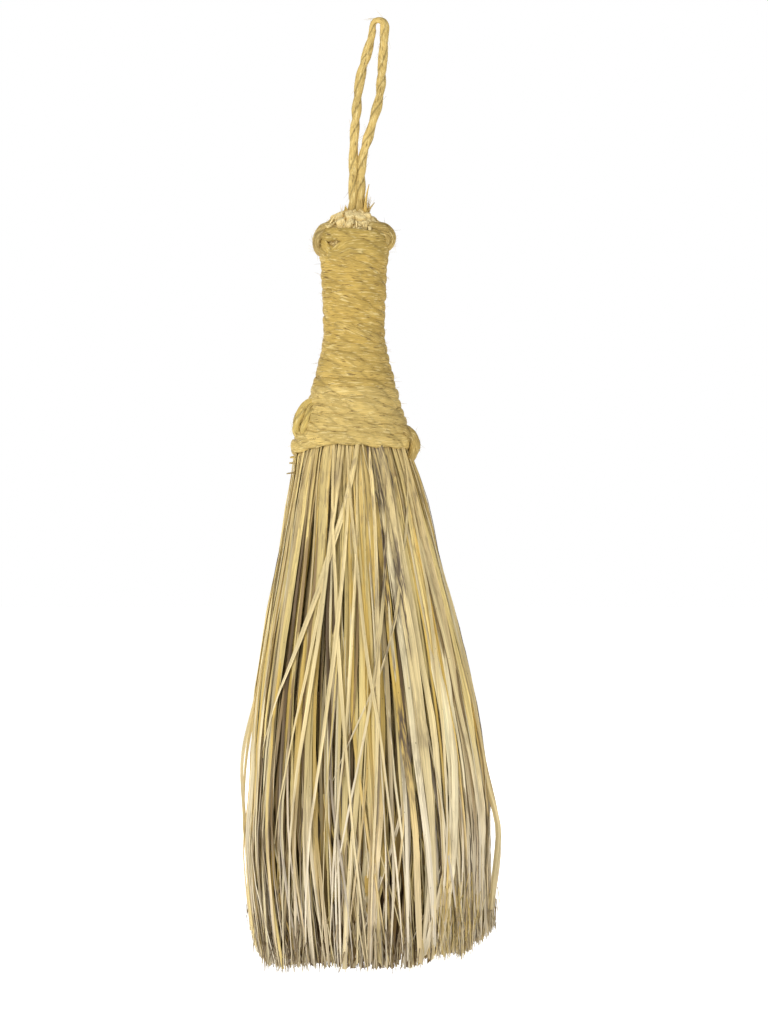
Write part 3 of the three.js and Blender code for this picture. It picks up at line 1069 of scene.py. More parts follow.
@dataclass
class HangingLoop:
    """The cord loop on top, its legs pinched together above the root. Its route is across and up from the
    root.
    """

    layout: Layout
    rope: Rope = Rope(
        diameter=4.6, lay=25.0, lobe=0.39, apart=0.12, arc=9, groove_shade=0.5, colour=(202, 174, 103)
    )
    hair: Fibres = Fibres(thickness=0.14)
    hairs: int = 110
    real_length: float = 0.193
    tail: float = 8.0
    step: float = 0.8
    pinch: float = 0.74
    pinched: Pair = (14.0, 40.0)
    fold_at: Pair = (0.475, 0.03)
    fold_thinning: float = 0.36
    root_swelling: float = 0.06
    root_height: float = 18.0
    seed: int = 3
    route: tuple[Pair, ...] = (
        (-2.4, 0), (-2.35, 6.7), (-2.3, 13.7), (-2.2, 20.5), (-1.8, 26), (-1.3, 33), (-0.5, 40.5),
        (0.1, 48), (0.95, 55.5), (2.35, 63), (4.6, 70.6), (6.6, 78), (7.25, 81.5), (7.4, 84),
        (8.22, 85.98), (10.2, 86.8), (12.18, 85.98), (13, 84), (12.95, 81.5), (12.75, 78), (12.3, 70.6),
        (11.7, 63), (11.2, 55.5), (10, 48), (7.9, 40.5), (6, 33), (4.2, 26), (3, 20.5), (2.5, 13.7),
        (2.4, 6.7), (2.4, 0),
    )

    def build(self, finish: Material) -> list[Piece]:
        """Args:
            finish: Material of the cord.

        Returns:
            The loop and its fuzz.
        """
        rng = np.random.default_rng(self.seed)
        root = self.layout.z_loop_root
        path = self._path()
        height = path[:, 2] - root
        middle = np.arange(len(path)) / len(path)
        swell = 1 - self.fold_thinning * bump(middle, *self.fold_at)
        swell = swell + self.root_swelling * ease(-height, -self.root_height, 0.0)
        draft = Draft(self.layout)
        self.rope.add_to(draft, path, np.broadcast_to([0.0, -1.0, 0.0], path.shape), rng, swell)
        loop = draft.make("hanging_cord_loop")
        dress(loop, finish, ["hanging_loop"])
        loose = Draft(self.layout)
        self._fuzz(loose, path, rng)
        fuzz = loose.make("hanging_cord_fuzz")
        dress(fuzz, finish)
        line = self.layout.row(path)
        hinge = self.layout.row(np.array([self.layout.loop_offset, 0.0, root]))
        for piece in (loop, fuzz):
            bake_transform(piece)
        return [loop, fuzz]

    def _path(self) -> np.ndarray:
        """The cord's centreline, tails and all, with its legs pinched together above the root.

        Returns:
            Its points.
        """
        root = self.layout.z_loop_root
        offset = self.layout.loop_offset
        whole = [(self.route[0][0], -self.tail), *self.route, (self.route[-1][0], -self.tail)]
        path = smooth_path([(x + offset, 0.0, z + root) for x, z in whole], self.step)
        legs = self.pinch + (1 - self.pinch) * ease(path[:, 2] - root, *self.pinched)
        path[:, 0] = offset + (path[:, 0] - offset) * legs
        return path

    def _fuzz(self, draft: Draft, path: np.ndarray, rng: Rng) -> None:
        """Short hairs that stand off the cord.

        Args:
            draft: Where they are added.
            path: The cord's centreline.
            rng: Source of their places and ways.
        """
        ahead = unit(np.gradient(path, axis=0))
        for _ in range(self.hairs):
            i = int(rng.integers(12, len(path) - 12))
            off = unit(np.cross(ahead[i], rng.normal(size=3)))
            way = ahead[i] * rng.choice([-1, 1]) + 0.45 * off
            self.hair.add_to(draft, path[i] + off * 1.5, way, rng.uniform(2.5, 6.0), rng)


class CordLength(NamedTuple):
    """A length of the binding: the CAD node that it stands for, its lay and its colour."""

    node: str
    lay: float
    colour: Colour


class Overlay(NamedTuple):
    """Cord that crosses over the turns of a length, from one angle in degrees and height to another."""

    length: int
    start: float
    top: float
    end: float
    bottom: float


class Dip(NamedTuple):
    """Where a turn of the binding rises, or sinks, out of line: which turn, how much of it, and how far."""

    turn: float
    spread: float
    rise: float


@dataclass
class Binding:
    """The wound cord that makes the grip, in four lengths."""

    layout: Layout
    rope: Rope = Rope(diameter=6.7, lay=31.0, press=0.46)
    hair: Fibres = Fibres(thickness=0.13)
    bared: Fibres = Fibres(thickness=1.1, colour=(196, 168, 108))
    bared_at: tuple[float, ...] = (223, 232, 236, 243)
    seed: int = 11
    step: float = 0.0065
    lap: float = 0.004
    turn_length: float = 90.0
    inset: float = 1.6
    sunk: float = 2.6
    start_sunk: float = 3.0
    crowding: float = 2.6
    sag_at: Pair = (262, 30)
    left_bulge: float = 1.5
    left_at: Pair = (185, 24)
    low_swelling: float = 0.1
    height_waves: Pair = (0.5, 110.0)
    depth_waves: Pair = (0.2, 60.0)
    return_pitch: float = 8.6
    return_inset: float = 1.75
    return_size: float = 0.9
    return_height_waves: Pair = (0.6, 90.0)
    return_depth_waves: Pair = (0.55, 50.0)
    overlay_inset: float = 4.0
    overlay_rise: float = 3.0
    overlay_size: float = 0.86
    overlay_waves: Pair = (0.3, 0.6)
    last_wrap: float = 0.26
    last_climb: float = 4.4
    bed_insets: Pair = (2.1, 4.6)
    gap_shade_colour: Colour = (146, 117, 62)
    dips: tuple[Dip, ...] = (
        Dip(0.4, 0.06, 0.6),
        Dip(1.39, 0.06, -5.0),
        Dip(2.39, 0.08, -3.0),
        Dip(3.39, 0.09, -1.2),
    )
    overlays: tuple[Overlay, ...] = (
        Overlay(1, 205, 334, 340, 326),
        Overlay(1, 188, 318, 322, 309),
        Overlay(2, 210, 303, 352, 293),
        Overlay(2, 186, 288, 318, 280.5),
        Overlay(3, 196, 268, 350, 260),
        Overlay(3, 205, 258, 338, 250.5),
        Overlay(3, 60, 264, 190, 256),
        Overlay(1, 34, 340, 152, 330.5),
        Overlay(2, 30, 298, 150, 287.5),
        Overlay(3, 32, 277, 152, 266),
    )
    lengths: tuple[CordLength, ...] = (
        CordLength("collar_binding", 29.0, (182, 154, 79)),
        CordLength("upper_grip_binding", 31.0, (185, 155, 78)),
        CordLength("lower_grip_binding", 28.0, (190, 161, 86)),
        CordLength("shoulder_binding", 23.0, (200, 173, 102)),
    )

    def turn_ends(self) -> list[float]:
        """The turns at which the four lengths begin and end.

        Returns:
            Five turns, counted from the top.
        """
        layout = self.layout
        turns = (layout.z_collar_top - layout.skirt_length - layout.cord) / layout.pitch
        grip = round(layout.grip_length / layout.pitch)
        flare = math.floor((turns - layout.collar_turns - grip) / 2)
        collar = layout.collar_turns
        return [0, collar, collar + grip, collar + grip + flare, turns]

    def line(self, turns: np.ndarray, rng: Rng) -> tuple[np.ndarray, np.ndarray, np.ndarray]:
        """The wound line at some turns.

        Args:
            turns: Turns from the top.
            rng: Source of its unevenness.

        Returns:
            Points, outward directions and swelling.
        """
        layout = self.layout
        last = self.turn_ends()[-1]
        z = layout.z_collar_top - layout.cord / 2 - turns * layout.pitch
        angle = TURN / 4 + TURN * turns
        degrees = np.degrees(angle) % 360
        low = ease(turns, last - 1.5, last - 0.6)
        sag = low * bump(degrees, *self.sag_at)
        crowded = -self.crowding * (1 - ease(turns, 0.5, 3.4))
        dips = sum(dip.rise * bump(turns, dip.turn, dip.spread) for dip in self.dips)
        heights = z + sag + crowded + dips + uneven(turns * self.turn_length, rng, self.height_waves)
        merged = ease(turns, last + 0.06, last + self.last_wrap)
        heights = heights + self.last_climb * merged - 0.6 * bump(turns, last, 0.08)
        left = self.left_bulge * low * bump(degrees, *self.left_at)
        first = self.start_sunk * (1 - ease(turns, 0, 0.12))
        out = uneven(turns * self.turn_length, rng, self.depth_waves) - self.inset
        points, outward = layout.wound(angle, z, out - self.sunk * merged + left - first, heights)
        return points, outward, 1 + self.low_swelling * low

    def build(self, finish: Material) -> list[Piece]:
        """Makes the four lengths.

        Args:
            finish: Material of the cord.

        Returns:
            The pieces.
        """
        ends = self.turn_ends()
        made = []
        for i, length in enumerate(self.lengths):
            rng = np.random.default_rng(self.seed + i)
            rope = replace(self.rope, lay=length.lay, colour=length.colour)
            lowest = i == len(self.lengths) - 1
            turns = np.arange(ends[i], ends[i + 1] + (self.last_wrap if lowest else self.lap), self.step)
            points, outward, swell = self.line(turns, rng)
            draft = Draft(self.layout)
            rope.add_to(draft, points, outward, rng, swell)
            top, bottom = points[0, 2], points[-1, 2]
            self._gap_shade_sleeve(draft, top + 0.5, bottom + (5.5 if lowest else -0.5))
            if i > 0:
                self._way_back(draft, rope, bottom + (4.0 if lowest else 0.0), top, rng)
            else:
                self._bared_stalks(draft, rng)
            for overlay in self.overlays:
                if overlay.length == i:
                    self._overlay(draft, rope, overlay, rng)
            self._fuzz(draft, points, outward, rng)
            piece = draft.make(length.node.replace("binding", "winding"))
            dress(piece, finish, [length.node])
            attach(piece, "broom")
            made.append(piece)
        return made

    def _bared_stalks(self, draft: Draft, rng: Rng) -> None:
        """The edges of stalks that show where two turns of the collar part.

        Args:
            draft: Where they are added.
            rng: Source of their unevenness.
        """
        z = self.layout.z_collar
        wide, deep = self.layout.binding(np.array(z))
        for degrees in self.bared_at:
            start = polar(wide - 2.2, deep - 2.2, math.radians(degrees), z)
            self.bared.add_to(draft, start, UP, 9.0, rng, 0.03)

    def _way_back(self, draft: Draft, rope: Rope, low: float, high: float, rng: Rng) -> None:
        """The cord's way back up, which comes out between the turns here and there.

        Args:
            draft: Where it is added.
            rope: The cord.
            low: Height where it starts.
            high: Height where it ends.
            rng: Source of its unevenness.
        """
        last = (high - low) / self.return_pitch
        turns = np.arange(0, last, self.step)
        z = low + turns * self.return_pitch
        z = z + uneven(turns * self.turn_length, rng, self.return_height_waves)
        angle = rng.uniform(0, TURN) - TURN * turns
        held = ease(turns, 0.0, 0.06) * ease(-turns, -last, 0.06 - last)
        out = uneven(turns * self.turn_length, rng, self.return_depth_waves) - self.return_inset
        points, outward = self.layout.wound(angle, z, out - self.sunk * (1 - held), z)
        rope.add_to(draft, points, outward, rng, self.return_size)

    def _overlay(self, draft: Draft, rope: Rope, overlay: Overlay, rng: Rng) -> None:
        """A length of cord that comes up between the turns, crosses them at a slant and goes down again.

        Args:
            draft: Where it is added.
            rope: The cord.
            overlay: Where it starts and ends.
            rng: Source of its unevenness.
        """
        share = np.linspace(0, 1, 70)
        angle = np.radians(overlay.start + (overlay.end - overlay.start) * share)
        slope = 0.75 * share + 0.25 * ease(share, 0.2, 0.8)
        z = overlay.top + (overlay.bottom - overlay.top) * slope + uneven(share, rng, self.overlay_waves)
        out = self.overlay_rise * ease(share, 0.0, 0.2) * ease(-share, -1.0, -0.8) - self.overlay_inset
        points, outward = self.layout.wound(angle, z, out, z)
        rope.add_to(draft, points, outward, rng, self.overlay_size)

    def _gap_shade_sleeve(self, draft: Draft, top: float, bottom: float) -> None:
        """A dark sleeve under the turns, painted shade for the gaps between them: it closes on its first
        ring.

        Args:
            draft: Where it is added.
            top: Height where it starts.
            bottom: Height where it ends.
        """
        z = np.linspace(top, bottom, 14)
        wide, deep = self.layout.binding(z)
        turn = -TURN * np.arange(40) / 40
        shell = []
        for inset in self.bed_insets:
            x = (wide - inset)[:, None] * np.cos(turn)
            y = (deep - inset)[:, None] * np.sin(turn)
            shell.append(np.stack([x, y, np.broadcast_to(z[:, None], x.shape)], -1))
        rings = np.concatenate([shell[0], shell[1][::-1], shell[0][:1]], 0)
        grain = np.stack([rings[..., 2], rings[..., 0] * 0.1, rings[..., 1] * 0.1], -1)
        # Painted shade: the sleeve is dark so that the gaps between the turns read as shaded.
        draft.tube(rings, linear(*self.gap_shade_colour), grain)

    def _fuzz(self, draft: Draft, points: np.ndarray, outward: np.ndarray, rng: Rng) -> None:
        """Short hairs that stand off the turns.

        Args:
            draft: Where they are added.
            points: The cord's centreline.
            outward: Directions away from the handle there.
            rng: Source of their places and ways.
        """
        ahead = unit(np.gradient(points, axis=0))
        for _ in range(len(points) // 9):
            i = int(rng.integers(2, len(points) - 2))
            start = points[i] + outward[i] * 1.5 + np.array([0, 0, rng.uniform(-1.2, 1.2)])
            way = ahead[i] * rng.choice([-1, 1]) + outward[i] * rng.uniform(0.02, 0.4)
            way = way + rng.normal(size=3) * 0.12
            self.hair.add_to(draft, start, way, rng.uniform(2.5, 7.0), rng, 0.2)


class Strand(NamedTuple):
    """One cord of a bight: its diameter, and its route in degrees, distance off the binding and height."""

    diameter: float
    route: tuple[tuple[float, float, float], ...]


class Knot(NamedTuple):
    """A bight at the side of the binding: the CAD node that it stands for, its colour and its cords."""

    node: str
    colour: Colour
    strands: tuple[Strand, ...]


@dataclass
class SideKnots:
    """The four bights of cord at the sides of the binding."""

    layout: Layout
    rope: Rope = Rope(diameter=1.0, lay=24.0, press=0.94, groove_shade=0.6)
    hair: Fibres = Fibres(thickness=0.13)
    hairs: int = 16
    step: float = 0.7
    seed: int = 23
    knots: tuple[Knot, ...] = (
        Knot("collar_knot_left", (172, 147, 87), (
            Strand(5.0, ((216, -8.0, 348.2), (208, -4.0, 348), (200, -1.0, 346.2), (193, 0.5, 343),
                         (189, 0.6, 339.8), (187, -0.6, 337.6), (188, -3.5, 336.4))),
            Strand(5.0, ((150, -8.0, 349), (157, -4.0, 348.8), (166, -1.0, 346.8), (173, 0.5, 343.2),
                         (177, 0.5, 339.4), (178, -0.6, 336.6), (177, -3.5, 335))),
        )),
        Knot("collar_knot_right", (174, 148, 83), (
            Strand(5.4, ((-60, -6.0, 347), (-44, -4.2, 347.3), (-30, -2.2, 347.2), (-18, -0.4, 346.2),
                         (-9, 0.8, 343.2), (-6, 0.2, 340.4), (-5, -2.0, 338.4), (-6, -4.5, 337.6))),
            Strand(4.4, ((-52, -3.6, 345), (-38, -1.8, 344.8), (-26, -0.9, 343.8), (-17, -0.8, 341.6),
                         (-13, -2.4, 339.6), (-12, -4.6, 338.8))),
            Strand(5.0, ((40, -8.0, 349), (29, -4.0, 348.8), (18, -0.8, 347), (9, 0.7, 343.6),
                         (6, 0.2, 340.2), (5, -2.0, 338.2), (6, -4.5, 337.4))),
        )),
        Knot("shoulder_knot_left", (196, 170, 95), (
            Strand(5.6, ((198, -3.5, 266.2), (196, 0.0, 264), (193, 1.6, 260.4), (191, 1.9, 256),
                         (191, 0.8, 251.8), (192, -2.8, 249.2))),
            Strand(5.0, ((206, -3.4, 264), (207, -0.9, 261.6), (207, -0.4, 257), (206, -0.6, 252.4),
                         (205, -3.2, 249.6))),
        )),
        Knot("shoulder_knot_right", (176, 150, 86), (
            Strand(6.5, ((-25, -4, 254), (-20, -1.0, 252), (-15, 0.8, 248.6), (-12, 0.0, 244.4),
                         (-10, -1.6, 240.8), (-8, -4.6, 238.3), (-6, -7.5, 238.8))),
            Strand(6.0, ((7, -4, 253.4), (5, -1.0, 251.4), (3, 0.6, 248), (1, -0.5, 243.6),
                         (0, -2.1, 240.2), (0, -5, 238.4), (0, -8, 239))),
        )),
    )

    def build(self, finish: Material) -> list[Piece]:
        """Makes the four knots.

        Args:
            finish: Material of the cord.

        Returns:
            The pieces.
        """
        made = []
        for i, knot in enumerate(self.knots):
            rng = np.random.default_rng(self.seed + i)
            draft = Draft(self.layout)
            rope = replace(self.rope, colour=knot.colour)
            for strand in knot.strands:
                path = smooth_path([self._place(*point) for point in strand.route], self.step)
                outward = unit(path * np.array([1.0, 1.0, 0.0]))
                rope.add_to(draft, path, outward, rng, strand.diameter)
                self._fuzz(draft, path, outward, rng)
            piece = draft.make(knot.node.replace("knot", "bight"))
            dress(piece, finish, [knot.node])
            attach(piece, "broom")
            made.append(piece)
        return made

    def _place(self, degrees: float, off: float, z: float) -> np.ndarray:
        """A point at an angle, so far off the binding's outside."""
        wide, deep = self.layout.binding(np.array(z))
        return polar(wide + off, deep + off, math.radians(degrees), z)

    def _fuzz(self, draft: Draft, path: np.ndarray, outward: np.ndarray, rng: Rng) -> None:
        """Short hairs that stand off a bight.

        Args:
            draft: Where they are added.
            path: The cord's centreline.
            outward: Directions away from the handle there.
            rng: Source of their places and ways.
        """
        ahead = unit(np.gradient(path, axis=0))
        for _ in range(self.hairs):
            i = int(rng.integers(4, len(path) - 4))
            way = ahead[i] * rng.choice([-1, 1]) + 0.3 * outward[i] + 0.2 * rng.normal(size=3)
            self.hair.add_to(draft, path[i] + 2.0 * outward[i], way, rng.uniform(2.0, 5.0), rng)


class Hollow(NamedTuple):
    """Where the leaves hang in from the outside, or out of it, on the right (1) or the left (-1).

    It is so deep at a height, over a spread of heights. Between is how far aside it begins and is full.
    """

    side: int
    depth: float
    height: float
    spread: float
    between: Pair


class MouldPatch(NamedTuple):
    """Mould round an angle in degrees. It sets in above a pair of heights, and ends below another."""

    amount: float
    turn: float
    spread: float
    above: Pair
    below: Pair = (900.0, 1000.0)

    def share(self, turn: np.ndarray, z: np.ndarray) -> np.ndarray:
        """The share of mould at some places.

        Args:
            turn: Angles round the skirt, in degrees.
            z: Heights.

        Returns:
            Shares, before how far a strip has taken it on.
        """
        low, high = self.below
        mould = self.amount * bump(turn, self.turn, self.spread)
        return mould * ease(z, *self.above) * ease(-z, -high, -low)


@dataclass
class Blade:
    """One strip of leaf, from under the binding to the hem.

    Angles are radians round the skirt. Depths are how far under the outside its root, middle and tip hang.
    Dim is the painted light that reaches it, lit the painted difference in light between its edges, and worn
    how pale its tip is.
    Point is the width left at the tip, kick a late turn aside, spring a rise at the root, and bow a bulge.
    """

    root_angle: float
    tip_angle: float
    depths: tuple[float, float, float]
    top: float
    tip: float
    width: float
    thickness: float
    crease: float
    roll: float
    twist: float
    sway: float
    tint: np.ndarray
    dim: float
    lit: float
    worn: float
    point: float
    slant: float
    bend: float = 1.0
    kick: float = 0.0
    kick_from: float = 0.5
    spring: float = 0.0
    bow: float = 0.0
    bow_at: float = 0.7
    stations: int = 21
    root_colour: ClassVar[Colour] = (228, 201, 131)
    root_share: ClassVar[float] = 0.66
    tip_colour: ClassVar[Colour] = (238, 225, 200)
    tip_share: ClassVar[float] = 0.85
    # Painted shade deep in the skirt: how much red, green and blue it takes away, the darkest share it
    # leaves, and the most of it.
    lost_inside: ClassVar[Colour] = (0.94, 1.03, 1.22)
    left_inside: ClassVar[Colour] = (0.16, 0.12, 0.07)
    most_inside: ClassVar[float] = 0.86
    hollows: ClassVar[tuple[Hollow, ...]] = (
        Hollow(-1, -1.6, 241, 9, (0.8, 0.97)),
        Hollow(1, 3.2, 50, 24, (0.8, 0.96)),
        Hollow(-1, 2.2, 84, 26, (0.86, 0.98)),
    )
    mould_patches: ClassVar[tuple[MouldPatch, ...]] = (
        MouldPatch(0.9, 289, 12, (30, 90)),
        MouldPatch(1.1, 297, 6, (140, 165)),
        MouldPatch(0.9, 326, 13, (10, 40), (105, 140)),
    )

    def add_to(self, draft: Draft, rng: Rng) -> None:
        """Adds the strip to a draft.

        Args:
            draft: Where it is added.
            rng: Source of its waves.
        """
        t = np.linspace(0, 1, self.stations)
        z = self.top + (self.tip - self.top) * t
        path, out, angle = self._hang(draft.layout, t, z, rng)
        ahead = unit(np.gradient(path, axis=0))
        side = unit(np.cross(ahead, out))
        out = np.cross(side, ahead)
        roll = self.roll + self.twist * (t - 0.3) + uneven(t, rng, (0.22, 0.8)) * ease(t, 0.05, 0.4)
        c, s = np.cos(roll)[:, None], np.sin(roll)[:, None]
        out, side = out * c + side * s, side * c - out * s
        across, over = self._section(t, rng)
        rings = sweep(path, side, out, across, over)
        rings[-1] += (self.slant * across[-1])[:, None] * ahead[-1]
        grain = grain_of(across, over, lengths_along(path), rng)
        tints, stain = self._tints(t, angle, z, rng)
        draft.tube(rings, tints, grain, sharp=(0, 2, 4), stain=stain[:, None])

    def _hang(
        self, layout: Layout, t: np.ndarray, z: np.ndarray, rng: Rng
    ) -> tuple[np.ndarray, np.ndarray, np.ndarray]:
        """The line along which the strip hangs.

        Args:
            layout: The broom's sizes.
            t: Shares of the length.
            z: Heights.
            rng: Source of its waves.

        Returns:
            Its points, the directions out of the skirt there, and its angles round the skirt.
        """
        wide, deep, lean = layout.leaves(z)
        root, middle, tip = self.depths
        depth = root * (1 - t) ** 2 + 2 * middle * t * (1 - t) + tip * t**2
        depth = depth + uneven(t, rng, (0.55, 0.42)) * ease(t, 0.03, 0.2)
        depth = depth - self.spring * bump(t, 0.12, 0.1) - self.bow * bump(t, self.bow_at, 0.1)
        late = np.clip((t - self.kick_from) / (1 - self.kick_from), 0, 1) ** 1.4
        angle = self.root_angle + (self.tip_angle - self.root_angle) * t**self.bend + self.kick * late
        angle = angle + self.sway * ripple(t, rng, 0.9) * ease(t, 0.02, 0.5) / wide
        hollows = () if self.bow else self.hollows
        for hollow in hollows:
            aside = ease(hollow.side * np.cos(angle), *hollow.between)
            depth = depth + hollow.depth * bump(z, hollow.height, hollow.spread) * aside
        path = np.column_stack([lean + (wide - depth) * np.cos(angle), (deep - depth) * np.sin(angle), z])
        return path, oval_normal(angle, wide, deep), angle

    def _section(self, t: np.ndarray, rng: Rng) -> tuple[np.ndarray, np.ndarray]:
        """Places across and over the strip: ridge, shoulders, edges and underside.

        Args:
            t: Shares of the length.
            rng: Source of its uneven width.

        Returns:
            Places across and places over, ring by ring.
        """
        taper = 1 - (1 - self.point) * (0.62 * ease(t, 0.42, 0.8) + 0.38 * ease(t, 0.84, 1.0))
        width = self.width * (0.68 + 0.32 * ease(t, 0.0, 0.6)) * taper * (1 + uneven(t, rng, (0.1, 0.5)))
        fold = self.crease * width * ease(t, -0.2, 0.15)
        across = width[:, None] * np.array([0.0, 0.25, 0.5, 0.0, -0.5, -0.25])
        over = fold[:, None] * np.array([0.5, 0.0, -0.5, 0.5, -0.5, 0.0])
        over = over + self.thickness * np.array([0.5, 0.45, 0.0, -0.5, 0.0, 0.45])
        return across, over

    def _tints(
        self, t: np.ndarray, angle: np.ndarray, z: np.ndarray, rng: Rng
    ) -> tuple[np.ndarray, np.ndarray]:
        """Colours along the strip: golden at the root, paler and worn further down, mouldy in places, with
        painted shade deep in the skirt and painted light and shade across the strip.

        Args:
            t: Shares of the length.
            angle: Angles round the skirt.
            z: Heights.
            rng: Source of its patches.

        Returns:
            Colours of all points, and shares of mould ring by ring.
        """
        shade = 1 + uneven(t, rng, (0.12, 0.6))
        # Painted shade: strips that little light reaches grow darker and warmer further down.
        inside = (1 - self.dim) * (ease(t, 0.1, 0.3) + 0.6 * ease(t, 0.55, 0.85))[:, None]
        inside = np.minimum(inside, self.most_inside) * np.array(self.lost_inside)
        root = self.root_share * (1 - ease(t, 0.06, 0.27))[:, None]
        # Painted shade also keeps the tips of such strips from paling.
        tip = self.worn * (0.2 + 0.8 * self.dim) * ease(t, 0.52, 0.92)
        tip = np.clip(tip, 0, self.tip_share)[:, None]
        colour = self.tint * (1 - root) + linear(*self.root_colour) * root
        colour = (colour * (1 - tip) + linear(*self.tip_colour) * tip) * shade[:, None]
        colour = colour * np.maximum(1 - inside, np.array(self.left_inside))
        # Painted light and shade across the strip: one edge lighter, the other darker, the underside darker.
        half = 0.5 * self.lit
        edge = np.array([1.0, 1.0 + half, 1.0 + self.lit, 0.9, 1.0 - self.lit, 1.0 - half])
        return colour[:, None, :] * edge[None, :, None], self._mould(t, np.degrees(angle) % 360, z, rng)

    def _mould(self, t: np.ndarray, turn: np.ndarray, z: np.ndarray, rng: Rng) -> np.ndarray:
        """Mould along the strip: patches right of the front, and a little everywhere.

        Args:
            t: Shares of the length.
            turn: Angles round the skirt, in degrees.
            z: Heights.
            rng: Source of how far the strip has taken it on.

        Returns:
            Shares of mould.
        """
        mould = sum(patch.share(turn, z) for patch in self.mould_patches)
        taken = rng.uniform(0.0, 1.2)
        mould = (mould * (0.2 + 0.85 * taken) + 0.16 * taken) * ease(ripple(t, rng, 0.3), -0.4, 0.5)
        return np.clip(mould, 0, 0.9)


class Layer(NamedTuple):
    """A layer of a hank: how many strips, how far under the outside, and how much painted light reaches it.

    Reach is where its strips start, as a share of the skirt's length, and slim a factor on their width.
    """

    count: int
    inset: float
    light: float
    reach: float
    slim: float


class LeafColour(NamedTuple):
    """A colour of leaf, and the share of the strips that have it."""

    share: float
    colour: Colour


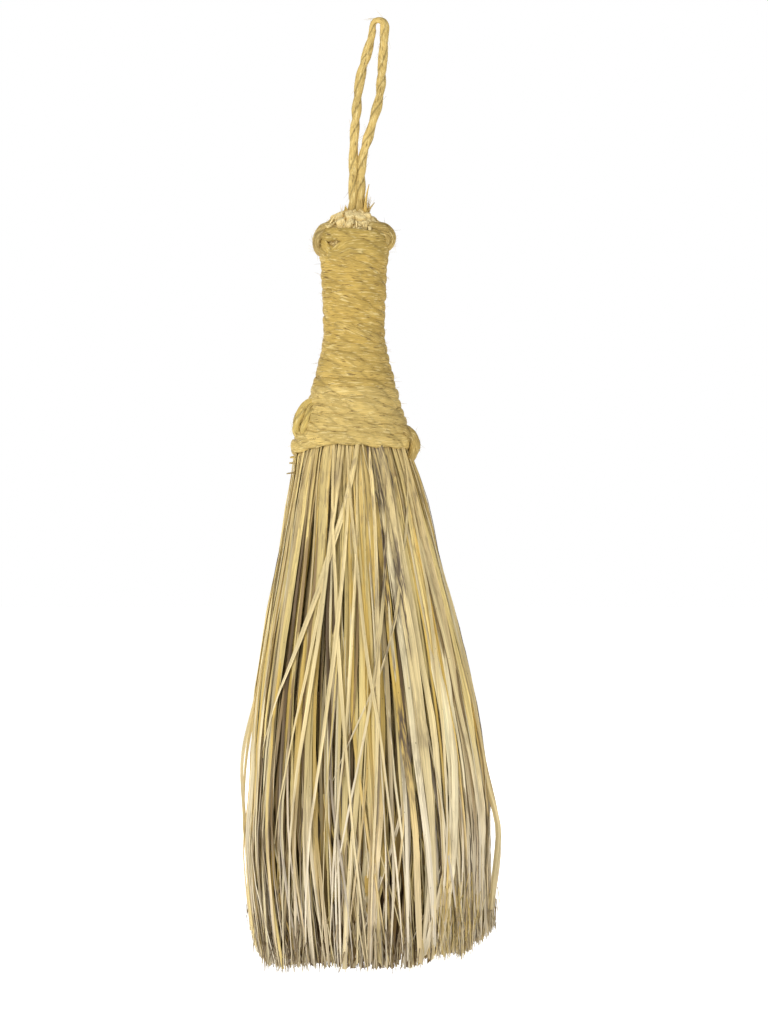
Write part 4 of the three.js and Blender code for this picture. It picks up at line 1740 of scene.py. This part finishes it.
@dataclass
class Skirt:
    """The hanks of leaf bound on round the shoulder.

    It hangs thin, dull or full round three places, each an angle and a spread in degrees. Spreads are how
    far strips drift from straight, in degrees, each with its share of the strips.
    """

    layout: Layout
    seed: int = 41
    hanks: int = 16
    sparse_at: Pair = (238, 15)
    dull_at: Pair = (250, 24)
    full_at: Pair = (322, 17)
    spreads: tuple[float, ...] = (2.5, 6.0, 12.0)
    spread_shares: tuple[float, ...] = (0.46, 0.32, 0.22)
    wide_share: float = 0.09
    kicked_share: float = 0.26
    flipped_share: float = 0.3
    short_share: float = 0.05
    short_by: Pair = (10, 110)
    clumped_pull: Pair = (0.4, 0.85)
    loose_pull: Pair = (0.0, 0.3)
    wide_widths: Pair = (3.6, 6.0)
    usual_widths: Pair = (0.55, 4.0)
    kicks: Pair = (13.0, 6.0)
    dark_below: float = 0.25
    dark_width: float = 1.9
    hem_height: float = 2.4
    ragged: float = 1.4
    torn_share: float = 0.05
    torn_by: Pair = (6, 26)
    right_steps: tuple[tuple[float, Pair], ...] = ((5.4, (0.31, 0.52)), (4.2, (0.73, 0.87)))
    right_corner: Pair = (7.5, 16)
    left_corner: Pair = (20.0, 31)
    left_drop: tuple[float, Pair] = (1.2, (0.5, 0.9))
    thinned_layers: int = 3
    thinned_above: float = 0.4
    layers: tuple[Layer, ...] = (
        Layer(21, 0.0, 1.0, 1.0, 1.0),
        Layer(14, 3.6, 0.5, 1.0, 1.0),
        Layer(10, 8.5, 0.24, 1.0, 1.0),
        Layer(13, 6.5, 0.28, 0.5, 1.0),
        Layer(20, 1.2, 0.72, 0.3, 0.5),
        Layer(9, 0.4, 0.88, 0.6, 0.56),
    )
    palette: tuple[LeafColour, ...] = (
        LeafColour(0.2, (222, 207, 164)),
        LeafColour(0.28, (219, 196, 128)),
        LeafColour(0.22, (209, 177, 92)),
        LeafColour(0.12, (192, 171, 123)),
        LeafColour(0.11, (152, 127, 84)),
        LeafColour(0.07, (98, 79, 50)),
    )

    def colour(self, rng: Rng) -> np.ndarray:
        """A leaf's own colour.

        Args:
            rng: Source of the choice.

        Returns:
            A linear colour.
        """
        pick = int(rng.choice(len(self.palette), p=[leaf.share for leaf in self.palette]))
        return linear(*self.palette[pick].colour) * rng.uniform(0.92, 1.12)

    def lift(self, angle: float, depth: float = 0.0) -> float:
        """How far the hem has risen at an angle: in two steps to the right, and at both corners.

        Args:
            angle: The angle round the skirt.
            depth: How far under the outside.

        Returns:
            A height.
        """
        across = math.cos(angle) * (1 - depth / self.layout.skirt[0])
        if across > 0:
            steps = sum(rise * ease(np.array(across), *between) for rise, between in self.right_steps)
            corner, power = self.right_corner
            return float(steps) + corner * across**power
        corner, power = self.left_corner
        drop, between = self.left_drop
        return corner * abs(across) ** power - drop * float(ease(np.array(-across), *between))

    def hem(self, angle: float, depth: float, rng: Rng) -> float:
        """Where a strip is cut off: higher at the corners, most on the right, and ragged.

        Args:
            angle: Its angle round the skirt.
            depth: How far it hangs under the outside.
            rng: Source of the raggedness.

        Returns:
            A height.
        """
        torn = rng.uniform() <= self.torn_share
        ragged = rng.uniform(*self.torn_by) if torn else rng.exponential(self.ragged)
        return self.lift(angle, depth) + self.hem_height + ragged

    def sparse(self, angle: float) -> float:
        """How thin the skirt hangs at an angle: most so left of the front."""
        return float(bump(np.array(math.degrees(angle) % 360), *self.sparse_at))

    def blade(self, angle: float, layer: int, clump: float, rng: Rng) -> Blade:
        """One strip of a hank.

        Args:
            angle: Where it leaves the binding.
            layer: Its layer.
            clump: Angle of the clump that it falls towards.
            rng: Source of everything uneven about it.

        Returns:
            The strip.
        """
        _, inset, light, reach, slim = self.layers[layer]
        spread = float(rng.choice(self.spreads, p=self.spread_shares))
        drift = rng.normal(0, math.radians(spread))
        pull = rng.uniform(*(self.clumped_pull if spread == self.spreads[0] else self.loose_pull))
        tip_angle = angle + drift + pull * (clump - angle)
        turn = np.array(math.degrees(tip_angle) % 360)
        sparse = self.sparse(tip_angle)
        dull = float(bump(turn, *self.dull_at))
        full = float(bump(turn, *self.full_at))
        beside = float(ease(np.abs(np.cos(tip_angle)), 0.84, 0.98))
        wide = rng.uniform() < self.wide_share
        if wide:
            width = rng.uniform(*self.wide_widths)
        else:
            width = float(np.clip(rng.lognormal(0.5, 0.46), *self.usual_widths))
        kick = rng.normal(0, math.radians(self.kicks[0 if rng.uniform() < self.kicked_share else 1]))
        flipped = math.pi if rng.uniform() < self.flipped_share else 0.0
        depths = (
            0.2 + 0.5 * inset + rng.uniform(-0.8, 1.6) + (4.0 if reach < 1 else 0.0),
            inset + 0.2 + rng.uniform(0, 3.0),
            inset + 0.2 + rng.uniform(0, 4.0),
        )
        slant = rng.normal(0, 0.8)
        short = layer == 0 and rng.uniform() < self.short_share
        top = reach * self.layout.skirt_length + rng.uniform(9.0, 14.0)
        tip = self.hem(tip_angle + kick, depths[2], rng) + 0.35 * abs(slant) * width
        if short:
            tip += rng.uniform(*self.short_by)
        strip = Blade(
            root_angle=angle,
            tip_angle=tip_angle,
            depths=depths,
            top=top,
            tip=tip,
            width=slim * width * (1 - 0.1 * sparse + 0.26 * full),
            thickness=rng.uniform(0.22, 0.4),
            crease=rng.uniform(0.02, 0.14) * rng.choice([1, 1, -1]),
            roll=flipped + rng.normal(0, 0.3),
            twist=rng.normal(0, 0.7),
            sway=rng.uniform(0.2, 1.3),
            bend=rng.uniform(0.85, 1.6),
            kick=kick,
            kick_from=rng.uniform(0.3, 0.65),
            spring=rng.uniform(0.4, 2.4) if layer == 0 else 0.0,
            # Painted light: strips at the sides of the skirt are lighter. Strips are also darker round the
            # dull place and lighter round the full one.
            tint=self.colour(rng) * (1 - 0.12 * dull + 0.2 * full + 0.09 * beside),
            # The painted shade of the inner layers is lighter where the skirt hangs thin, and much lighter
            # where it hangs full.
            dim=light + (0.12 * sparse + 0.6 * full) * (1 - light),
            lit=rng.uniform(-0.07, 0.07),
            worn=float(np.clip(rng.normal(0.56, 0.28), 0, 0.9)),
            point=rng.uniform(0.16, 0.85),
            slant=slant,
        )
        if strip.tint[1] < self.dark_below:
            strip.width = min(strip.width, self.dark_width)
        return strip

    def build(self, finish: Material) -> list[Piece]:
        """Makes the hanks. Every other strip of the first layers is left out where the skirt hangs thin.

        Args:
            finish: Material of the leaf.

        Returns:
            The pieces.
        """
        made = []
        sector = TURN / self.hanks
        for i in range(self.hanks):
            rng = np.random.default_rng(self.seed + i)
            middle = -TURN / 4 + i * sector
            groups = int(rng.integers(2, 4))
            clumps = middle + sector * ((np.arange(groups) + rng.uniform(0.2, 0.8, groups)) / groups - 0.5)
            draft = Draft(self.layout)
            for layer, (count, *_) in enumerate(self.layers):
                for k in range(count):
                    angle = middle + sector * ((k + rng.uniform()) / count - 0.5)
                    clump = clumps[np.argmin(np.abs(clumps - angle))]
                    strip = self.blade(angle, layer, clump, rng)
                    kept = layer >= self.thinned_layers or k % 2
                    if kept or self.sparse(strip.tip_angle) < self.thinned_above:
                        strip.add_to(draft, rng)
            name = f"leaf_hank_{i + 1:02d}"
            piece = draft.make(name.replace("leaf_hank", "hank_of_leaf"))
            dress(piece, finish, [name])
            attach(piece, "broom")
            made.append(piece)
        return made


@dataclass
class Stalks:
    """The leaves whose stalks fill the handle: cut ends in the crown, leaflets inside the skirt."""

    layout: Layout
    skirt: Skirt
    seed: int = 77
    count: int = 9
    leaflets: int = 16
    leaflet_layer: int = 2
    # Painted light that reaches the leaflets, which leaves them in painted shade further down.
    leaflet_light: float = 0.5
    sides: int = 12
    pith_colour: Colour = (233, 212, 155)
    husk_colour: Colour = (222, 196, 132)

    def build(self, wood: Material, leaf: Material) -> list[Piece]:
        """Makes the stalks and their leaflets.

        Args:
            wood: Material of the stalks.
            leaf: Material of the leaflets.

        Returns:
            The pieces.
        """
        made = []
        sector = TURN / self.count
        for i in range(self.count):
            rng = np.random.default_rng(self.seed + i)
            angle = -TURN / 4 + (i + 0.5) * sector
            draft = Draft(self.layout)
            self._butts(draft, i, angle, rng)
            stalk = draft.make(f"stalk_{i + 1:02d}")
            dress(stalk, wood, [f"palm_leaf_{i + 1:02d}"])
            inner = Draft(self.layout)
            for _ in range(self.leaflets):
                self._leaflet(angle + sector * rng.uniform(-0.5, 0.5), rng).add_to(inner, rng)
            leaves = inner.make(f"leaflets_{i + 1:02d}")
            dress(leaves, leaf)
            for piece in (stalk, leaves):
                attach(piece, "broom")
                made.append(piece)
        return made

    def _butts(self, draft: Draft, i: int, angle: float, rng: Rng) -> None:
        """The cut ends of a leaf's stalk: two at the rim, one or two inside them, and one in the middle.

        Args:
            draft: Where they are added.
            i: Which leaf it is.
            angle: Its angle round the handle.
            rng: Source of their unevenness.
        """
        sector = TURN / self.count
        crown = self.layout.z_crown
        for turn in (-0.25, 0.25):
            top = crown - rng.uniform(4.6, 6.2)
            self._butt(draft, angle + turn * sector, 11.2, rng.uniform(2.1, 2.6), top, 0.6, rng)
        self._butt(draft, angle, 7.4, rng.uniform(2.4, 3.1), crown - rng.uniform(1.2, 2.6), 0.45, rng)
        if i % 3 == 0:
            self._butt(draft, angle + 0.5 * sector, 7.8, 2.0, crown - rng.uniform(1.8, 3.2), 0.35, rng)
        self._butt(draft, angle + 0.3, 3.9, rng.uniform(1.5, 2.1), crown - rng.uniform(0.2, 1.2), 0.1, rng)

    def _leaflet(self, angle: float, rng: Rng) -> Blade:
        """One leaflet inside the skirt.

        Args:
            angle: Its angle round the skirt.
            rng: Source of everything uneven about it.

        Returns:
            The leaflet.
        """
        inset = rng.uniform(12, 17)
        strip = self.skirt.blade(angle, self.leaflet_layer, angle, rng)
        depths = (rng.uniform(6, 10), inset, inset + rng.uniform(2, 20))
        return replace(
            strip,
            depths=depths,
            tip=self.skirt.hem(angle, depths[2], rng),
            dim=self.leaflet_light,
            width=rng.uniform(2.4, 5.0),
        )

    def _butt(
        self, draft: Draft, angle: float, out: float, radius: float, top: float, slope: float, rng: Rng
    ) -> None:
        """One stalk, from inside the grip to its ragged cut end.

        Args:
            draft: Where it is added.
            angle: Its angle round the handle.
            out: How far from the handle's axis it stands.
            radius: Its half-thickness.
            top: Height of its cut end.
            slope: How far the cut falls away from the handle's axis.
            rng: Source of its unevenness.
        """
        turn = TURN * np.arange(self.sides) / self.sides
        angle = angle + rng.normal(0, 0.06)
        out = out + rng.normal(0, 0.35)
        lobes = zip((0.26, 0.14, 0.1), (2, 3, 5))
        outline = 1 + sum(size * np.sin(fold * turn + rng.uniform(0, TURN)) for size, fold in lobes)
        heights = np.array([-60.0, -14.0, -2.6, -0.5, -0.12, 0.0, 0.0])
        shares = np.array([0.8, 0.9, 1.0, 1.02, 0.94, 0.66, 0.3])
        nearer = np.array([0.55, 0.78, 1.0, 1.0, 1.0, 1.0, 1.0])
        tilt = rng.normal(0, 0.22, 2) - slope * np.array([math.cos(angle), math.sin(angle)])
        rings = []
        for height, share, near in zip(heights, shares, nearer):
            x = near * out * math.cos(angle) + radius * share * outline * np.cos(turn)
            y = near * out * math.sin(angle) + radius * share * outline * np.sin(turn)
            cut = ease(np.array(height), -3.0, -0.2)
            fall = cut * (tilt[0] * np.cos(turn) + tilt[1] * np.sin(turn)) * radius * share
            rough = cut * rng.uniform(-0.22, 0.22, self.sides)
            rings.append(np.column_stack([x, y, top + height + fall + rough]))
        stalk = np.stack(rings)
        pale = linear(*self.pith_colour) * rng.uniform(0.94, 1.04)
        husk = linear(*self.husk_colour) * rng.uniform(0.92, 1.06)
        blend = ease(heights, -1.2, -0.1)[:, None, None]
        draft.tube(stalk, pale * blend + husk * (1 - blend), stalk)


class Yarn(NamedTuple):
    """A frayed end beside the loop's root: its place, how it leans and its length."""

    x: float
    y: float
    lean: float
    length: float


class Stray(NamedTuple):
    """A strip that crosses the others: degrees at its root and tip, height of its tip, width and shade."""

    root: float
    tip: float
    height: float
    width: float
    shade: float


class Bow(NamedTuple):
    """A strip that bows away from a side: degrees round, how far it bows, where along it, and its width."""

    angle: float
    out: float
    at: float
    width: float


@dataclass
class Frays:
    """Loose fibre at the loop's root, under the binding and at the hem, and stray strips of leaf.

    Husks lean in at some degrees round the collar. Stubs are broken ends under the left shoulder: where they
    are across, in depth and in height, and how long.
    """

    layout: Layout
    skirt: Skirt
    seed: int = 131
    pith: Fibres = Fibres(thickness=1.9, colour=(230, 208, 150), thinning=0.35)
    shred: Fibres = Fibres(thickness=0.8, colour=(228, 205, 146))
    husk: Fibres = Fibres(thickness=3.8, colour=(218, 190, 120), thinning=0.4)
    yarn: Fibres = Fibres(thickness=1.5, colour=(208, 176, 98))
    root_hair: Fibres = Fibres(thickness=0.3, colour=(212, 181, 104))
    golden_hair: Fibres = Fibres(thickness=0.36, colour=(218, 192, 122))
    hem_hairs: tuple[Fibres, ...] = (
        Fibres(thickness=0.5, colour=(220, 203, 160)),
        Fibres(thickness=0.5, colour=(182, 161, 122)),
        Fibres(thickness=0.5, colour=(128, 109, 80)),
    )
    stub: Fibres = Fibres(thickness=1.4, colour=(214, 186, 112), thinning=0.4)
    stray_colour: Colour = (216, 196, 143)
    bow_colour: Colour = (219, 199, 146)
    pith_count: int = 190
    rim_count: int = 64
    shred_count: int = 70
    root_hair_count: int = 40
    hem_hair_count: int = 700
    golden_count: int = 130
    golden_at: Pair = (-46, 9)
    yarns: tuple[Yarn, ...] = (
        Yarn(4.9, -2.6, 0.0, 15.0),
        Yarn(5.2, -1.6, 0.12, 9.0),
        Yarn(5.6, -3.0, 0.0, 6.5),
        Yarn(4.8, -3.4, 0.75, 8.0),
        Yarn(4.0, 2.6, 0.1, 8.0),
        Yarn(-2.6, -2.4, -0.25, 5.5),
        Yarn(-3.6, -1.0, -0.1, 4.6),
    )
    husks_at: tuple[float, ...] = (-42, -31, -20, -8, 6, 19, 33, 148, 161, 174, 187, 200, 212)
    strays: tuple[Stray, ...] = (
        Stray(-82, -154, 100, 3.0, 1.1),
        Stray(-99, -138, 60, 1.6, 1.12),
        Stray(-28, -106, 90, 1.5, 1.08),
        Stray(-84, -62, 182, 1.0, 1.05),
        Stray(-98, -74, 4, 1.8, 0.95),
        Stray(-104, -134, 4, 2.2, 1.06),
        Stray(-58, -106, 44, 2.0, 1.05),
        Stray(-64, -60, 7, 5.4, 1.06),
        Stray(-60, -54, 8, 3.8, 1.08),
        Stray(-44, -26, 12, 2.4, 1.0),
        Stray(76, 108, 4, 2.6, 1.0),
        Stray(126, 88, 34, 2.2, 0.98),
        Stray(20, -30, 20, 2.0, 1.0),
        Stray(150, 200, 20, 2.0, 1.0),
        Stray(-92, -124, 9, 2.0, 1.14),
        Stray(-86, -110, 14, 1.6, 1.1),
        Stray(-74, -92, 5, 2.4, 1.12),
        Stray(-112, -92, 6, 1.8, 1.1),
        Stray(-70, -50, 8, 1.8, 1.08),
        Stray(-38, -58, 9, 2.0, 1.08),
    )
    stubs: tuple[tuple[float, float, float, float], ...] = (
        (-27.0, -4.0, 239.6, 3.0),
        (-27.0, -2.0, 237.2, 3.4),
        (-27.0, -6.0, 232.4, 4.6),
    )
    bows: tuple[Bow, ...] = (
        Bow(-13, 3.2, 0.84, 4.4),
        Bow(-10, 3.2, 0.83, 2.4),
        Bow(-8, 3.0, 0.85, 2.0),
        Bow(-176, 3.0, 0.69, 2.4),
        Bow(-172, 2.4, 0.7, 1.8),
    )

    def build(self, cord: Material, leaf: Material) -> list[Piece]:
        """Makes the frays.

        Args:
            cord: Material of the fibres.
            leaf: Material of the stray strips.

        Returns:
            The pieces.
        """
        rng = np.random.default_rng(self.seed)
        root = Draft(self.layout)
        self._crown_pith(root, rng)
        self._root_tuft(root, rng)
        hem = Draft(self.layout)
        self._hem_fringe(hem, rng)
        loose = Draft(self.layout)
        self._strays(loose, rng)
        made = [root.make("root_tuft"), hem.make("hem_fringe"), loose.make("stray_strips")]
        for piece, finish, slot in zip(made, (cord, leaf, leaf), (Slot.CORD, Slot.LEAF, Slot.LEAF)):
            dress(piece, finish)
            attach(piece, "broom")
        return made

    def _root_tuft(self, draft: Draft, rng: Rng) -> None:
        """The frayed ends of the loop's tails, standing up beside its root.

        Args:
            draft: Where they are added.
            rng: Source of their unevenness.
        """
        base = self.layout.z_crown - 3.0
        for x, y, lean, length in self.yarns:
            self.yarn.add_to(draft, np.array([x, y, base]), np.array([lean, -0.05, 1.0]), length, rng, 0.16)
        for _ in range(self.root_hair_count):
            right = rng.uniform() < 0.7
            x = rng.uniform(3.0, 7.5) if right else rng.uniform(-5.5, -2.5)
            start = np.array([x, rng.uniform(-4.5, 2.0), base])
            way = np.array([rng.normal(0.12 if right else -0.1, 0.14), rng.normal(0, 0.12), 1.0])
            self.root_hair.add_to(draft, start, way, rng.uniform(4.0, 10.5 if right else 6.0), rng, 0.18)

    def _crown_pith(self, draft: Draft, rng: Rng) -> None:
        """Fibre between the cut stalk ends, and husks that lean in over the collar.

        Args:
            draft: Where it is added.
            rng: Source of its unevenness.
        """
        rim = self.layout.z_collar_top
        base = rim - 4.0
        for _ in range(self.pith_count):
            out = 13.0 * math.sqrt(rng.uniform())
            angle = rng.uniform(0, TURN)
            top = self.layout.z_crown - 1.0 - 0.4 * out + rng.uniform(-0.9, 0.5)
            way = np.array([rng.normal(0, 0.1), rng.normal(0, 0.1), 1.0])
            self.pith.add_to(draft, polar(out, out, angle, base), way, top - base, rng, 0.1)
        for k in range(self.rim_count):
            angle = TURN * (k + rng.uniform()) / self.rim_count
            out = rng.uniform(12.4, 14.0)
            start = polar(out, out, angle, base - 4.0)
            self.pith.add_to(draft, start, UP, rng.uniform(4.2, 5.6), rng, 0.05)
        for _ in range(self.shred_count):
            angle = rng.uniform(0, TURN)
            start = polar(13.4, 13.4, angle, rim + rng.uniform(-3.0, -0.5))
            way = polar(-1.0, -1.0, angle, rng.uniform(0.5, 1.0)) + rng.normal(0, 0.2, 3)
            self.shred.add_to(draft, start, way, rng.uniform(3.0, 6.0), rng, 0.15)
        for degrees in self.husks_at:
            angle = math.radians(degrees)
            start = polar(15.0, 14.6, angle, rim - 2.8)
            self.husk.add_to(draft, start, polar(-0.8, -0.8, angle, 0.48), rng.uniform(7.0, 9.0), rng, 0.06)

    def _hem_fringe(self, draft: Draft, rng: Rng) -> None:
        """Split ends and hairs among the cut tips, and a golden patch of them right of the front.

        Args:
            draft: Where they are added.
            rng: Source of their places and ways.
        """
        for _ in range(self.hem_hair_count):
            hair = self.hem_hairs[rng.integers(len(self.hem_hairs))]
            angle = rng.uniform(0, TURN)
            inset = rng.uniform(0, 7)
            z = self.skirt.hem(angle, inset, rng) + rng.uniform(2, 22)
            way = np.array([0.13 * rng.normal(), 0.13 * rng.normal(), -1.0])
            reach = min(rng.uniform(6, 24), 0.95 * z - self.skirt.lift(angle))
            hair.add_to(draft, self.layout.under_leaves(angle, inset, z), way, reach, rng, 0.08)
        for _ in range(self.golden_count):
            angle = math.radians(rng.normal(*self.golden_at))
            z = self.skirt.lift(angle) + rng.uniform(5, 42)
            start = self.layout.under_leaves(angle, rng.uniform(-0.4, 2.5), z)
            way = np.array([rng.normal(-0.05, 0.16), rng.normal(0, 0.08), -1.0])
            reach = min(rng.uniform(8, 20), 0.95 * z - self.skirt.lift(angle))
            self.golden_hair.add_to(draft, start, way, reach, rng, 0.08)

    def _strays(self, draft: Draft, rng: Rng) -> None:
        """Strips that cross the others, stubs under the shoulder, and strips that bow away from the sides.

        Args:
            draft: Where they are added.
            rng: Source of their unevenness.
        """
        for stray in self.strays:
            tip_angle = math.radians(stray.tip)
            beside = abs(math.cos(math.radians((stray.root + stray.tip) / 2))) > 0.9
            strip = replace(
                self.skirt.blade(math.radians(stray.root), 0, tip_angle, rng),
                tip_angle=tip_angle,
                depths=(1.0, 0.8, 1.8) if beside else (-0.6, -1.8, 1.4),
                bend=1.0,
                kick=0.0,
                twist=0.2,
                width=stray.width,
                point=0.2,
                tint=linear(*self.stray_colour) * stray.shade,
                tip=stray.height,
            )
            strip.add_to(draft, rng)
        for x, y, z, length in self.stubs:
            self.stub.add_to(draft, np.array([x, y, z]), np.array([-1.0, -0.1, -0.1]), length, rng, 0.1)
        for bow in self.bows:
            angle = math.radians(bow.angle)
            strip = replace(
                self.skirt.blade(angle, 0, angle, rng),
                tip_angle=angle,
                depths=(1.2, 1.2, 2.4),
                bow=bow.out,
                bow_at=bow.at,
                roll=TURN / 4 + rng.uniform(-0.4, 0.4),
                twist=0.0,
                width=bow.width,
                point=0.4,
                tint=linear(*self.bow_colour),
                sway=0.3,
                kick=0.0,
                stations=41,
                tip=23 + rng.uniform(0, 7),
            )
            strip.add_to(draft, rng)


@dataclass
class HiddenCords:
    """The ties, tails and stop knot inside the handle, kept as the CAD has them."""

    names: tuple[str, ...] = (
        "core_tie",
        "shoulder_tie",
        "loop_tail_left",
        "loop_tail_right",
        "loop_stop_knot",
    )

    def dress(self, tie: Material) -> list[Piece]:
        """Gives the CAD nodes a twine finish.

        Args:
            tie: Material of the twine.

        Returns:
            The nodes.
        """
        nodes = [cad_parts[name] for name in self.names]
        for node in nodes:
            node.data.materials.clear()
            node.data.materials.append(tie)
        return nodes


def main() -> None:
    """Builds the broom's pieces in order and reports them."""
    logging.basicConfig(level=logging.INFO, format="%(name)s %(message)s")
    layout = Layout()
    Studio().build()
    cord = CordFinish().material()
    leaf = LeafFinish().material()
    wood = StalkFinish().material()
    skirt = Skirt(layout)
    pieces = HangingLoop(layout).build(cord)
    pieces += Binding(layout).build(cord)
    pieces += SideKnots(layout).build(cord)
    pieces += skirt.build(leaf)
    pieces += Stalks(layout, skirt).build(wood, leaf)
    pieces += Frays(layout, skirt).build(cord, leaf)
    pieces += HiddenCords().dress(TieFinish().material())
    for piece in pieces:
        log.info("%s: %d faces", piece.name, len(piece.data.polygons))


if __name__ == "__main__":
    main()
